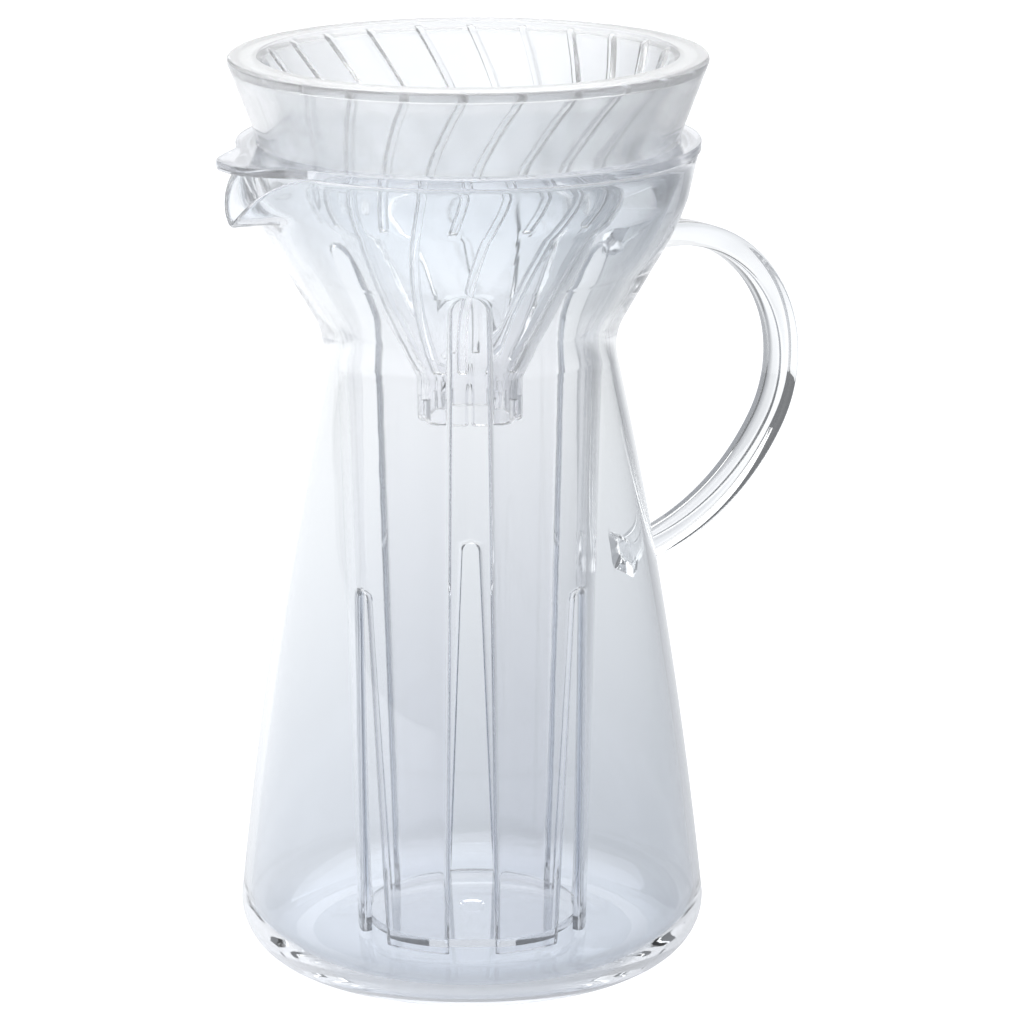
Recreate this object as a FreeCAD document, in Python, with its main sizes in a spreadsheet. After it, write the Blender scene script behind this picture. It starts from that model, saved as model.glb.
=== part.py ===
import FreeCAD, Part
import Sketcher
import math
import os

# Iced coffee maker: a waisted glass carafe with a fused strap handle, a clear
# ice strainer that hangs inside it by its flange, and a clear ribbed dripper
# that stands in the strainer's mouth. Millimetres. +Z is up, the handle points
# to +X and the spout to -X. The origin is the middle of the foot, on the table.

SIZES = [
    # carafe body: outer radii and heights, from the foot up
    ("carafe_base_radius", 58.0, "widest radius, just above the foot"),
    ("carafe_corner", 13.0, "outer rounding between foot and side"),
    ("carafe_side_bow", 1350.0, "radius of the gently bowed side"),
    ("waist_low_radius", 36.3, "outer radius where the side ends"),
    ("waist_low_z", 151.0, "height where the side ends"),
    ("waist_bend", 16.0, "outer radius of the bend at the waist"),
    ("waist_rise", 11.0, "height of that bend"),
    ("waist_flare", 1.6, "how much wider the bend ends than it starts"),
    ("funnel_rise", 13.5, "height of the straight funnel above the waist"),
    ("funnel_flare", 7.7, "how much wider the funnel gets over that height"),
    ("shoulder_bend", 75.0, "outer radius of the turn above the funnel"),
    ("shoulder_rise", 16.0, "height of that turn"),
    ("shoulder_flare", 7.7, "how much wider it gets over that height"),
    ("rim_rise", 11.2, "height of the straight rim above the shoulder"),
    ("rim_flare", 2.2, "how much wider it gets over that height"),
    ("carafe_wall", 2.3, "glass wall, measured level"),
    ("carafe_floor", 4.2, "glass floor"),
    ("rim_round", 0.9, "fire-polished edge of the rim"),
    # spout: a rounded V trough pulled out of the rim
    ("spout_overhang", 9.8, "how far the spout's tip stands out past the rim"),
    ("spout_drop", 11.3, "the tip's lip below the rim"),
    ("spout_mouth_half", 17.0, "half width of the trough at rim height"),
    ("spout_depth", 10.3, "inside bottom of the trough below the rim"),
    ("spout_bottom_half", 3.6, "half width of the trough's round bottom"),
    ("spout_bottom_rise", 1.5, "height of the trough's round bottom"),
    ("spout_wall", 1.9, "glass wall of the spout"),
    # handle: a flat strap, bent in two arcs and fused to the glass at its ends
    ("strap_width", 8.8, "strap, across"),
    ("strap_thickness", 6.0, "strap, radially"),
    ("strap_rounding", 1.6, "rounding of the strap's edges"),
    ("loop_radius", 34.4, "upper arc of the strap's middle line"),
    ("loop_offset", 21.0, "middle of the upper arc out from the waist"),
    ("loop_drop", 26.6, "middle line of the strap's top below the rim"),
    ("loop_turn", 30.0, "angle below level where the upper arc ends, degrees"),
    ("tail_radius", 61.5, "lower arc of the strap's middle line"),
    ("tail_turn", 78.0, "angle below level where the lower arc ends, degrees"),
    # ice strainer: flange, funnel and slotted tube
    ("seat_gap", 0.3, "gap left where one piece rests on another"),
    ("strainer_gap", 1.7, "level gap between glass and strainer"),
    ("collar_gap", 0.7, "level gap between the glass and the collar"),
    ("collar_depth", 5.5, "collar below the flange"),
    ("strainer_wall", 2.5, "strainer wall, measured level"),
    ("tube_foot_radius", 28.8, "outer radius of the tube's foot"),
    ("tube_foot_z", 5.5, "height of the tube's foot"),
    ("flange_overhang", 0.8, "how far the flange stands out past the glass rim"),
    ("flange_thickness", 2.3, "flange"),
    ("recess_lip", 1.3, "how much narrower than the collar the ledge's wall is"),
    ("recess_depth", 1.3, "ledge below the flange's top"),
    ("recess_width", 2.6, "width of the ledge"),
    ("strainer_floor", 2.3, "strainer's floor disc"),
    ("strainer_floor_z", 7.4, "underside of the floor disc"),
    ("floor_overlap", 0.4, "how far the floor disc runs into the wall"),
    ("tab_overhang", 10.0, "how far the tab over the spout stands out past the flange"),
    ("tab_tip_half", 8.5, "half width of the tab at its tip"),
    ("tab_tip_rise", 2.1, "height of the curved tip"),
    ("tab_root_half", 19.6, "half width of the tab where it leaves the collar"),
    ("tab_waist_half", 14.0, "half width where the tab's sides turn"),
    ("tab_waist_overhang", 2.9, "how far that turn stands out past the flange"),
    ("tab_side_bend", 9.0, "radius of the tab's sides"),
    # the strainer's slots: long and short ones take turns
    ("slot_foot_width", 12.0, "all slots at the floor"),
    ("long_slot_width", 8.2, "long slots at the top"),
    ("long_slot_height", 169.5, "top of the long slots above the tube's foot"),
    ("short_slot_width", 4.4, "short slots at the top"),
    ("short_slot_height", 90.2, "top of the short slots above the tube's foot"),
    # dripper: rim, skirt, cone and outlet crown
    ("dripper_flare", 6.8, "how much wider the dripper's rim is than the ledge's wall"),
    ("dripper_height", 21.7, "height of the dripper's rim above its skirt's foot"),
    ("dripper_edge", 1.0, "rounding of the rim's outer edge"),
    ("dripper_rim_face", 0.6, "upright face under that edge"),
    ("dripper_rim_thickness", 2.6, "plate between skirt and cone"),
    ("dripper_rim_width", 7.0, "top of the dripper's rim, from its outside to the cone"),
    ("skirt_gap", 0.75, "level gap between the skirt's foot and the ledge wall"),
    ("skirt_wall", 2.3, "skirt, measured level"),
    ("cone_wall", 2.5, "cone, measured level"),
    ("outlet_radius", 10.4, "inner radius of the outlet"),
    ("cone_height", 78.6, "height of the cone's inside"),
    ("crown_height", 11.0, "height of the crown below the cone"),
    ("crown_wall", 2.6, "crown"),
    ("crown_notch_width", 1.6, "slots in the crown's lower edge"),
    ("crown_notch_height", 5.5, "height of those slots"),
    # ribs inside the cone
    ("rib_height", 1.6, "rib, out of the cone's wall"),
    ("rib_width", 1.9, "rib, across its foot"),
    ("rib_crest_width", 1.3, "rib, across its crest"),
    ("rib_start_drop", 0.8, "top of the ribs below the rim"),
    ("rib_end_rise", 3.0, "lower end of the long ribs above the crown"),
    ("short_rib_drop", 36.0, "lower end of the short ribs below the rim"),
    ("rib_twist", 38.0, "turn of a rib over the cone's height, degrees"),
    ("rib_sink", 0.5, "how far a rib runs into the cone's wall"),
]

SLOTS = 3  # of each kind, long and short
CROWN_NOTCHES = 12
RIBS = 24
RIB_STATIONS = 7
RIB_EASE = 0.25  # how much faster a rib turns near the rim than near the outlet
RIB_EASE_POWER = 5  # how late on its way down a rib slows its turn
PAST = 5.0  # how far a cutting shape runs past what it cuts


class Dim:
    """A size that keeps its number together with its spreadsheet expression."""

    def __init__(self, value, text):
        self.value = value
        self.text = text

    def __add__(self, other):
        other = dim(other)
        return Dim(self.value + other.value, f"({self.text} + {other.text})")

    def __radd__(self, other):
        return dim(other) + self

    def __sub__(self, other):
        other = dim(other)
        return Dim(self.value - other.value, f"({self.text} - {other.text})")

    def __rsub__(self, other):
        return dim(other) - self

    def __mul__(self, other):
        other = dim(other)
        return Dim(self.value * other.value, f"({self.text} * {other.text})")

    def __rmul__(self, other):
        return dim(other) * self

    def __truediv__(self, other):
        other = dim(other)
        return Dim(self.value / other.value, f"({self.text} / {other.text})")

    def __neg__(self):
        return Dim(-self.value, f"(-{self.text})")


def dim(value):
    """A plain number as a Dim, and a Dim as it is."""
    return value if isinstance(value, Dim) else Dim(float(value), repr(float(value)))


def sine(angle):
    return Dim(math.sin(math.radians(angle.value)), f"sin({angle.text} * 1 deg)")


def cosine(angle):
    return Dim(math.cos(math.radians(angle.value)), f"cos({angle.text} * 1 deg)")


def write_sheet(doc):
    """Put the sizes in a spreadsheet and return them as Dims by name."""
    sheet = doc.addObject("Spreadsheet::Sheet", "Sizes")
    dims = {}
    for row, (name, value, note) in enumerate(SIZES, start=1):
        sheet.set(f"A{row}", name)
        sheet.set(f"B{row}", str(value))
        sheet.set(f"C{row}", note)
        sheet.setAlias(f"B{row}", name)
        dims[name] = Dim(value, f"Sizes.{name}")
    doc.recompute()
    return dims


def add_places(d):
    """Work out the radii and heights that follow from the driving sizes."""
    d["waist_high_radius"] = d["waist_low_radius"] + d["waist_flare"]
    d["waist_high_z"] = d["waist_low_z"] + d["waist_rise"]
    d["shoulder_low_radius"] = d["waist_high_radius"] + d["funnel_flare"]
    d["shoulder_low_z"] = d["waist_high_z"] + d["funnel_rise"]
    d["shoulder_high_radius"] = d["shoulder_low_radius"] + d["shoulder_flare"]
    d["shoulder_high_z"] = d["shoulder_low_z"] + d["shoulder_rise"]
    d["rim_radius"] = d["shoulder_high_radius"] + d["rim_flare"]
    d["rim_z"] = d["shoulder_high_z"] + d["rim_rise"]
    d["spout_reach"] = d["rim_radius"] + d["spout_overhang"]
    d["spout_tip_z"] = d["rim_z"] - d["spout_drop"]
    d["spout_bottom_z"] = d["rim_z"] - d["spout_depth"]
    d["loop_center_x"] = d["waist_low_radius"] + d["loop_offset"]
    d["loop_top_z"] = d["rim_z"] - d["loop_drop"]
    d["flange_z"] = d["rim_z"] + d["seat_gap"]
    d["flange_top"] = d["flange_z"] + d["flange_thickness"]
    d["flange_radius"] = d["rim_radius"] + d["flange_overhang"]
    d["collar_radius"] = d["rim_radius"] - d["carafe_wall"] - d["collar_gap"]
    d["seat_radius"] = d["collar_radius"] - d["recess_lip"]
    d["ledge_z"] = d["flange_top"] - d["recess_depth"]
    d["dripper_foot"] = d["ledge_z"] + d["seat_gap"]
    d["dripper_top"] = d["dripper_foot"] + d["dripper_height"]
    d["dripper_radius"] = d["seat_radius"] + d["dripper_flare"]
    d["mouth_radius"] = d["dripper_radius"] - d["dripper_rim_width"]
    d["crown_top"] = d["dripper_top"] - d["cone_height"]
    d["crown_bottom"] = d["crown_top"] - d["crown_height"]


# ---------------------------------------------------------------- sketching

def new_body(doc, name):
    return doc.addObject("PartDesign::Body", name)


def origin_plane(body, role):
    return next(item for item in body.Origin.OriginFeatures if item.Role == role)


def new_sketch(body, name, role, lift=None):
    """A sketch on one of the body's origin planes, lifted along its normal."""
    sketch = body.newObject("Sketcher::SketchObject", name)
    sketch.AttachmentSupport = [(origin_plane(body, role), "")]
    sketch.MapMode = "FlatFace"
    if lift is not None:
        offset = FreeCAD.Vector(0, 0, lift.value)
        sketch.AttachmentOffset = FreeCAD.Placement(offset, FreeCAD.Rotation())
        sketch.setExpression("AttachmentOffset.Base.z", lift.text)
    return sketch


def arc_between(start, end, radius, left):
    """The short arc from start to end; its middle lies left or right of the way there."""
    run = end - start
    half = run.Length / 2
    side = FreeCAD.Vector(-run.y, run.x, 0).normalize()
    reach = math.sqrt(max(radius * radius - half * half, 0.0))
    middle = (start + end) / 2 + side * (reach if left else -reach)
    circle = Part.Circle(middle, FreeCAD.Vector(0, 0, 1), radius)
    first, last = (start, end) if left else (end, start)
    first_angle = math.atan2(first.y - middle.y, first.x - middle.x)
    last_angle = math.atan2(last.y - middle.y, last.x - middle.x)
    return Part.ArcOfCircle(circle, first_angle, last_angle)


def hold(sketch, kind, geometry, point, size):
    """Hold one point of the sketch at a distance from the origin along one axis."""
    if size.value == 0:
        axis = -2 if kind == "DistanceX" else -1
        sketch.addConstraint(Sketcher.Constraint("PointOnObject", geometry, point, axis))
        return
    if size.value > 0:
        constraint = Sketcher.Constraint(kind, -1, 1, geometry, point, size.value)
        text = size.text
    else:
        constraint = Sketcher.Constraint(kind, geometry, point, -1, 1, -size.value)
        text = (-size).text
    index = sketch.addConstraint(constraint)
    sketch.setExpression(f"Constraints[{index}]", text)


def draw(sketch, corners, closed=True):
    """Draw a chain through corners, each (x, y) or (x, y, radius, side).

    A radius and a side make the run that leaves that corner an arc whose
    centre lies on that side of the way to the next corner.
    """
    count = len(corners)
    runs = count if closed else count - 1
    ends = []
    for index in range(runs):
        here = corners[index]
        there = corners[(index + 1) % count]
        start = FreeCAD.Vector(here[0].value, here[1].value, 0)
        end = FreeCAD.Vector(there[0].value, there[1].value, 0)
        if len(here) == 2:
            geometry = sketch.addGeometry(Part.LineSegment(start, end), False)
            ends.append((geometry, 1, 2))
            continue
        radius, side = here[2], here[3]
        left = side == "left"
        geometry = sketch.addGeometry(arc_between(start, end, radius.value, left), False)
        ends.append((geometry, 1, 2) if left else (geometry, 2, 1))
        index_of = sketch.addConstraint(Sketcher.Constraint("Radius", geometry, radius.value))
        sketch.setExpression(f"Constraints[{index_of}]", radius.text)
    for index in range(runs if closed else runs - 1):
        geometry, _, last = ends[index]
        following, first, _ = ends[(index + 1) % runs]
        sketch.addConstraint(Sketcher.Constraint("Coincident", geometry, last, following, first))
    for index in range(runs):
        geometry, first, _ = ends[index]
        hold(sketch, "DistanceX", geometry, first, corners[index][0])
        hold(sketch, "DistanceY", geometry, first, corners[index][1])
    if not closed:
        geometry, _, last = ends[-1]
        hold(sketch, "DistanceX", geometry, last, corners[-1][0])
        hold(sketch, "DistanceY", geometry, last, corners[-1][1])
    return sketch


def draw_circle(sketch, radius):
    circle = Part.Circle(FreeCAD.Vector(), FreeCAD.Vector(0, 0, 1), radius.value)
    geometry = sketch.addGeometry(circle, False)
    sketch.addConstraint(Sketcher.Constraint("Coincident", geometry, 3, -1, 1))
    index = sketch.addConstraint(Sketcher.Constraint("Radius", geometry, radius.value))
    sketch.setExpression(f"Constraints[{index}]", radius.text)


def turned(body, name, corners, cut=False):
    """A full turn about the Z axis, added to the body or cut out of it."""
    sketch = draw(new_sketch(body, f"{name}_outline", "XZ_Plane"), corners)
    kind = "PartDesign::Groove" if cut else "PartDesign::Revolution"
    feature = body.newObject(kind, name)
    feature.Profile = sketch
    feature.ReferenceAxis = (sketch, ["V_Axis"])
    feature.Angle = 360
    return feature


def extruded(body, name, sketch, length, cut=False, reverse=False, both_ways=False):
    """A pad or a pocket of a sketch with a length from the sheet."""
    feature = body.newObject("PartDesign::Pocket" if cut else "PartDesign::Pad", name)
    feature.Profile = sketch
    feature.Type = "Length"
    feature.Length = length.value
    feature.setExpression("Length", length.text)
    feature.Reversed = reverse
    if both_ways:
        feature.SideType = "Symmetric"
    return feature


def around(body, feature, copies):
    """Repeat a feature evenly about the Z axis."""
    pattern = body.newObject("PartDesign::PolarPattern", f"{feature.Name}_ring")
    pattern.Originals = [feature]
    pattern.Axis = (origin_plane(body, "Z_Axis"), [""])
    pattern.Angle = 360
    pattern.Occurrences = copies
    body.Tip = pattern
    return pattern


# ------------------------------------------------------------------- carafe

def glass_outline(d):
    """Half section of the carafe's outer shape, filled to the axis."""
    zero = dim(0)
    foot_radius = d["carafe_base_radius"] - d["carafe_corner"]
    rim_flat = d["rim_radius"] - d["rim_round"]
    return [
        (zero, zero),
        (foot_radius, zero, d["carafe_corner"], "left"),
        (d["carafe_base_radius"], d["carafe_corner"], d["carafe_side_bow"], "left"),
        (d["waist_low_radius"], d["waist_low_z"], d["waist_bend"], "right"),
        (d["waist_high_radius"], d["waist_high_z"]),
        (d["shoulder_low_radius"], d["shoulder_low_z"], d["shoulder_bend"], "left"),
        (d["shoulder_high_radius"], d["shoulder_high_z"]),
        (d["rim_radius"], d["rim_z"] - d["rim_round"], d["rim_round"], "left"),
        (rim_flat, d["rim_z"]),
        (zero, d["rim_z"]),
    ]


def cavity_outline(d):
    """Half section of the space inside the glass, open past the rim."""
    zero = dim(0)
    wall = d["carafe_wall"]
    inner_corner = d["carafe_corner"] - wall
    top = d["rim_z"] + PAST
    return [
        (zero, d["carafe_floor"]),
        (d["carafe_base_radius"] - wall - inner_corner, d["carafe_floor"], inner_corner, "left"),
        (d["carafe_base_radius"] - wall, d["carafe_floor"] + inner_corner,
         d["carafe_side_bow"], "left"),
        (d["waist_low_radius"] - wall, d["waist_low_z"], d["waist_bend"], "right"),
        (d["waist_high_radius"] - wall, d["waist_high_z"]),
        (d["shoulder_low_radius"] - wall, d["shoulder_low_z"], d["shoulder_bend"], "left"),
        (d["shoulder_high_radius"] - wall, d["shoulder_high_z"]),
        (d["rim_radius"] - wall, d["rim_z"] - d["rim_round"], d["rim_round"], "right"),
        (d["rim_radius"] - wall + d["rim_round"], d["rim_z"]),
        (d["rim_radius"] - wall + d["rim_round"], top),
        (zero, top),
    ]


def trough_outline(d, wall, top):
    """Section across the spout: a V with a round bottom, a wall thickness further out."""
    inner_half, inner_rise = d["spout_bottom_half"], d["spout_bottom_rise"]
    inner_radius = (inner_half * inner_half + inner_rise * inner_rise) / (2 * inner_rise)
    radius = inner_radius + wall
    half = inner_half * radius / inner_radius
    rise = inner_rise * radius / inner_radius
    bottom = d["spout_bottom_z"] - wall
    slope = (d["spout_mouth_half"] - inner_half) / (d["rim_z"] - d["spout_bottom_z"])
    top_half = half + slope * (top - bottom - rise)
    return [
        (-half, bottom + rise, radius, "left"),
        (half, bottom + rise),
        (top_half, top),
        (-top_half, top),
    ]


def lip_cut_outline(d):
    """Side view of what is cut away above and beyond the spout's sloping lip."""
    inner_rim = d["rim_radius"] - d["carafe_wall"]
    slope = (d["spout_reach"] - inner_rim) / (d["rim_z"] - d["spout_tip_z"])
    top = d["rim_z"] + PAST
    low = d["spout_tip_z"] - PAST
    top_x = -(inner_rim + slope * (d["rim_z"] - top))
    low_x = -(inner_rim + slope * (d["rim_z"] - low))
    return [
        (top_x, top),
        (low_x, low),
        (low_x - PAST, low),
        (low_x - PAST, top),
    ]


def make_carafe_body(doc, d):
    """Blown glass: a bowed cone, a waist and a funnel, with a spout at -X."""
    body = new_body(doc, "carafe_body")
    turned(body, "glass", glass_outline(d))
    trough_length = d["spout_reach"] + PAST
    outside = draw(new_sketch(body, "spout_outside", "YZ_Plane"),
                   trough_outline(d, d["spout_wall"], d["rim_z"]))
    extruded(body, "spout", outside, trough_length, reverse=True)
    turned(body, "cavity", cavity_outline(d), cut=True)
    inside = draw(new_sketch(body, "spout_inside", "YZ_Plane"),
                  trough_outline(d, dim(0), d["rim_z"] + PAST))
    extruded(body, "spout_trough", inside, trough_length + PAST, cut=True, reverse=False)
    lip = draw(new_sketch(body, "spout_lip", "XZ_Plane"), lip_cut_outline(d))
    extruded(body, "spout_lip_cut", lip, 2 * d["spout_reach"], cut=True, both_ways=True)
    return body


def make_carafe_handle(doc, d):
    """A flat glass strap, bent round and fused to the glass at both ends."""
    body = new_body(doc, "carafe_handle")
    center_z = d["loop_top_z"] - d["loop_radius"]
    start_x = d["waist_low_radius"]
    turn_x = d["loop_center_x"] + d["loop_radius"] * cosine(d["loop_turn"])
    turn_z = center_z - d["loop_radius"] * sine(d["loop_turn"])
    tail_center_x = turn_x - d["tail_radius"] * cosine(d["loop_turn"])
    tail_center_z = turn_z + d["tail_radius"] * sine(d["loop_turn"])
    spine = draw(new_sketch(body, "strap_path", "XZ_Plane"), [
        (start_x, d["loop_top_z"]),
        (d["loop_center_x"], d["loop_top_z"], d["loop_radius"], "right"),
        (turn_x, turn_z, d["tail_radius"], "right"),
        (tail_center_x + d["tail_radius"] * cosine(d["tail_turn"]),
         tail_center_z - d["tail_radius"] * sine(d["tail_turn"])),
    ], closed=False)
    half_width = d["strap_width"] / 2
    half_height = d["strap_thickness"] / 2
    round_off = d["strap_rounding"]
    low = d["loop_top_z"] - half_height
    high = d["loop_top_z"] + half_height
    section = draw(new_sketch(body, "strap_section", "YZ_Plane", start_x), [
        (-(half_width - round_off), low),
        (half_width - round_off, low, round_off, "left"),
        (half_width, low + round_off),
        (half_width, high - round_off, round_off, "left"),
        (half_width - round_off, high),
        (-(half_width - round_off), high, round_off, "left"),
        (-half_width, high - round_off),
        (-half_width, low + round_off, round_off, "left"),
    ])
    strap = body.newObject("PartDesign::AdditivePipe", "strap")
    strap.Profile = section
    strap.Spine = (spine, [])
    turned(body, "glass_side", glass_outline(d), cut=True)
    return body


# ------------------------------------------------------------- ice strainer

def collar_foot_radius(d, foot_z):
    """The collar narrows downwards with the glass that it hangs in."""
    rise = d["rim_z"] - d["rim_round"] - d["shoulder_high_z"]
    taper = (d["rim_radius"] - d["shoulder_high_radius"]) / rise
    return d["collar_radius"] - taper * (d["rim_z"] - d["rim_round"] - foot_z)


def strainer_outline(d):
    """Half section of the strainer's wall: tube, funnel, collar, flange and ledge."""
    wall = d["strainer_wall"]
    off = d["carafe_wall"] + d["strainer_gap"]
    collar_foot_z = d["flange_z"] - d["collar_depth"]
    ledge_inner = d["seat_radius"] - d["recess_width"]
    tube_top = d["waist_low_radius"] - off
    funnel_low = d["waist_high_radius"] - off
    funnel_high = d["shoulder_low_radius"] - off
    shoulder = d["shoulder_high_radius"] - off
    return [
        (d["tube_foot_radius"] - wall, d["tube_foot_z"]),
        (d["tube_foot_radius"], d["tube_foot_z"]),
        (tube_top, d["waist_low_z"], d["waist_bend"], "right"),
        (funnel_low, d["waist_high_z"]),
        (funnel_high, d["shoulder_low_z"], d["shoulder_bend"], "left"),
        (shoulder, d["shoulder_high_z"]),
        (collar_foot_radius(d, collar_foot_z), collar_foot_z),
        (d["collar_radius"], d["flange_z"]),
        (d["flange_radius"], d["flange_z"]),
        (d["flange_radius"], d["flange_top"]),
        (d["seat_radius"], d["flange_top"]),
        (d["seat_radius"], d["ledge_z"]),
        (ledge_inner, d["ledge_z"]),
        (shoulder - wall, d["shoulder_high_z"], d["shoulder_bend"], "right"),
        (funnel_high - wall, d["shoulder_low_z"]),
        (funnel_low - wall, d["waist_high_z"], d["waist_bend"], "left"),
        (tube_top - wall, d["waist_low_z"]),
    ]


def slot_outline(d, top_width, height):
    """A slot that narrows upwards to a round top and opens at the tube's foot."""
    foot = d["tube_foot_z"] - PAST
    top_z = d["tube_foot_z"] + height
    half_foot = d["slot_foot_width"] / 2
    half_top = top_width / 2
    return [
        (-half_foot, foot),
        (half_foot, foot),
        (half_top, top_z - half_top, half_top, "left"),
        (dim(0), top_z, half_top, "left"),
        (-half_top, top_z - half_top),
    ]


def cut_slots(body, d, name, top_width, height, towards_spout):
    """Three slots of one kind, evenly round the tube."""
    sketch = draw(new_sketch(body, f"{name}_outline", "YZ_Plane"),
                  slot_outline(d, top_width, height))
    slot = extruded(body, name, sketch, d["flange_radius"], cut=True, reverse=not towards_spout)
    around(body, slot, SLOTS)


def tab_outline(d):
    """Plan of the flange's tab over the spout, its sides running into the flange."""
    tip_side_x = -(d["flange_radius"] + d["tab_overhang"] - d["tab_tip_rise"])
    half, rise = d["tab_tip_half"], d["tab_tip_rise"]
    tip_bend = (half * half + rise * rise) / (2 * rise)
    waist_x = -(d["flange_radius"] + d["tab_waist_overhang"])
    root_x = -d["collar_radius"]
    return [
        (tip_side_x, d["tab_tip_half"], tip_bend, "left"),
        (tip_side_x, -d["tab_tip_half"], d["tab_side_bend"], "left"),
        (waist_x, -d["tab_waist_half"], d["tab_side_bend"], "right"),
        (root_x, -d["tab_root_half"]),
        (root_x, d["tab_root_half"], d["tab_side_bend"], "right"),
        (waist_x, d["tab_waist_half"], d["tab_side_bend"], "left"),
    ]


def make_ice_strainer(doc, d):
    """Clear plastic: hangs by its flange on the glass rim, slotted down to its floor."""
    body = new_body(doc, "ice_strainer")
    turned(body, "strainer_wall", strainer_outline(d))
    cut_slots(body, d, "long_slot", d["long_slot_width"], d["long_slot_height"], False)
    cut_slots(body, d, "short_slot", d["short_slot_width"], d["short_slot_height"], True)
    floor = new_sketch(body, "floor_outline", "XY_Plane", d["strainer_floor_z"])
    draw_circle(floor, d["tube_foot_radius"] - d["strainer_wall"] + d["floor_overlap"])
    extruded(body, "strainer_floor", floor, d["strainer_floor"])
    tab = new_sketch(body, "tab_outline", "XY_Plane", d["flange_z"])
    draw(tab, tab_outline(d))
    extruded(body, "spout_tab", tab, d["flange_thickness"])
    return body


# ------------------------------------------------------------------ dripper

def dripper_outline(d):
    """Half section of the dripper: rim, skirt, cone and outlet crown in one wall."""
    top = d["dripper_top"]
    under = top - d["dripper_rim_thickness"]
    foot = d["dripper_foot"]
    skirt_foot = d["seat_radius"] - d["skirt_gap"]
    face = top - d["dripper_edge"] - d["dripper_rim_face"]
    skirt_slope = (d["dripper_radius"] - skirt_foot) / (face - foot)
    cone_slope = (d["mouth_radius"] - d["outlet_radius"]) / (top - d["crown_top"])
    cone_under = d["mouth_radius"] - cone_slope * d["dripper_rim_thickness"] + d["cone_wall"]
    skirt_under = skirt_foot - d["skirt_wall"] + skirt_slope * (under - foot)
    crown = d["outlet_radius"] + d["crown_wall"]
    crown_meets = d["crown_top"] + (d["crown_wall"] - d["cone_wall"]) / cone_slope
    return [
        (d["outlet_radius"], d["crown_bottom"]),
        (crown, d["crown_bottom"]),
        (crown, crown_meets),
        (cone_under, under),
        (skirt_under, under),
        (skirt_foot - d["skirt_wall"], foot),
        (skirt_foot, foot),
        (d["dripper_radius"], face),
        (d["dripper_radius"], top - d["dripper_edge"], d["dripper_edge"], "left"),
        (d["dripper_radius"] - d["dripper_edge"], top),
        (d["mouth_radius"], top),
        (d["outlet_radius"], d["crown_top"]),
    ]


def make_dripper_shell(doc, d):
    body = new_body(doc, "dripper_shell")
    turned(body, "dripper_wall", dripper_outline(d))
    half = d["crown_notch_width"] / 2
    low = d["crown_bottom"] - PAST
    high = d["crown_bottom"] + d["crown_notch_height"]
    notch = draw(new_sketch(body, "notch_outline", "YZ_Plane"), [
        (-half, low), (half, low), (half, high), (-half, high),
    ])
    around(body, extruded(body, "notch", notch, d["outlet_radius"] + 2 * d["crown_wall"],
                          cut=True), CROWN_NOTCHES)
    return body


def rib_section(d, start_angle, z):
    """A rib's four-cornered section at one height, square to the cone's wall."""
    top = d["dripper_top"].value
    height = top - d["crown_top"].value
    slope = (d["mouth_radius"].value - d["outlet_radius"].value) / height
    radius = d["mouth_radius"].value - slope * (top - z)
    down = (top - z) / height
    turn = d["rib_twist"].value * (down + RIB_EASE * (down - down ** RIB_EASE_POWER))
    angle = math.radians(start_angle - turn)
    outward = FreeCAD.Vector(math.cos(angle), math.sin(angle), 0)
    sideways = FreeCAD.Vector(-math.sin(angle), math.cos(angle), 0)
    foot_half = d["rib_width"].value / 2
    crest_half = d["rib_crest_width"].value / 2
    places = [
        (d["rib_sink"].value, -foot_half),
        (d["rib_sink"].value, foot_half),
        (-d["rib_height"].value, crest_half),
        (-d["rib_height"].value, -crest_half),
    ]
    points = [outward * (radius + depth) + sideways * side + FreeCAD.Vector(0, 0, z)
              for depth, side in places]
    return Part.makePolygon(points + points[:1])


def make_rib(doc, d, index):
    """One rib down the inside of the cone; every second one is short."""
    start = d["dripper_top"].value - d["rib_start_drop"].value
    long_end = d["crown_top"].value + d["rib_end_rise"].value
    short_end = d["dripper_top"].value - d["short_rib_drop"].value
    end = short_end if index % 2 else long_end
    angle = 360.0 / RIBS * index
    levels = [start + (end - start) * step / (RIB_STATIONS - 1) for step in range(RIB_STATIONS)]
    sections = [rib_section(d, angle, z) for z in levels]
    rib = doc.addObject("Part::Feature", f"rib_{index + 1}")
    rib.Shape = Part.makeLoft(sections, True, True)
    return rib


def make_dripper(doc, d):
    """Clear plastic cone dripper: its skirt stands in the strainer's ledge."""
    shell = make_dripper_shell(doc, d)
    ribs = [make_rib(doc, d, index) for index in range(RIBS)]
    doc.recompute()
    dripper = doc.addObject("Part::MultiFuse", "dripper")
    dripper.Shapes = [shell] + ribs
    return dripper


# -------------------------------------------------------------------- write

def check(doc, nodes):
    """Stop if any object failed to compute or any piece isn't one sound solid."""
    for item in doc.Objects:
        if "Invalid" in item.State or "Error" in item.State:
            raise RuntimeError(f"{item.Label} did not compute: {item.State}")
    for node in nodes:
        shape = node.Shape
        if shape.isNull() or not shape.isValid():
            raise RuntimeError(f"{node.Label} has no valid shape")
        if len(shape.Solids) != 1:
            raise RuntimeError(f"{node.Label} holds {len(shape.Solids)} solids, not one")


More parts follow.
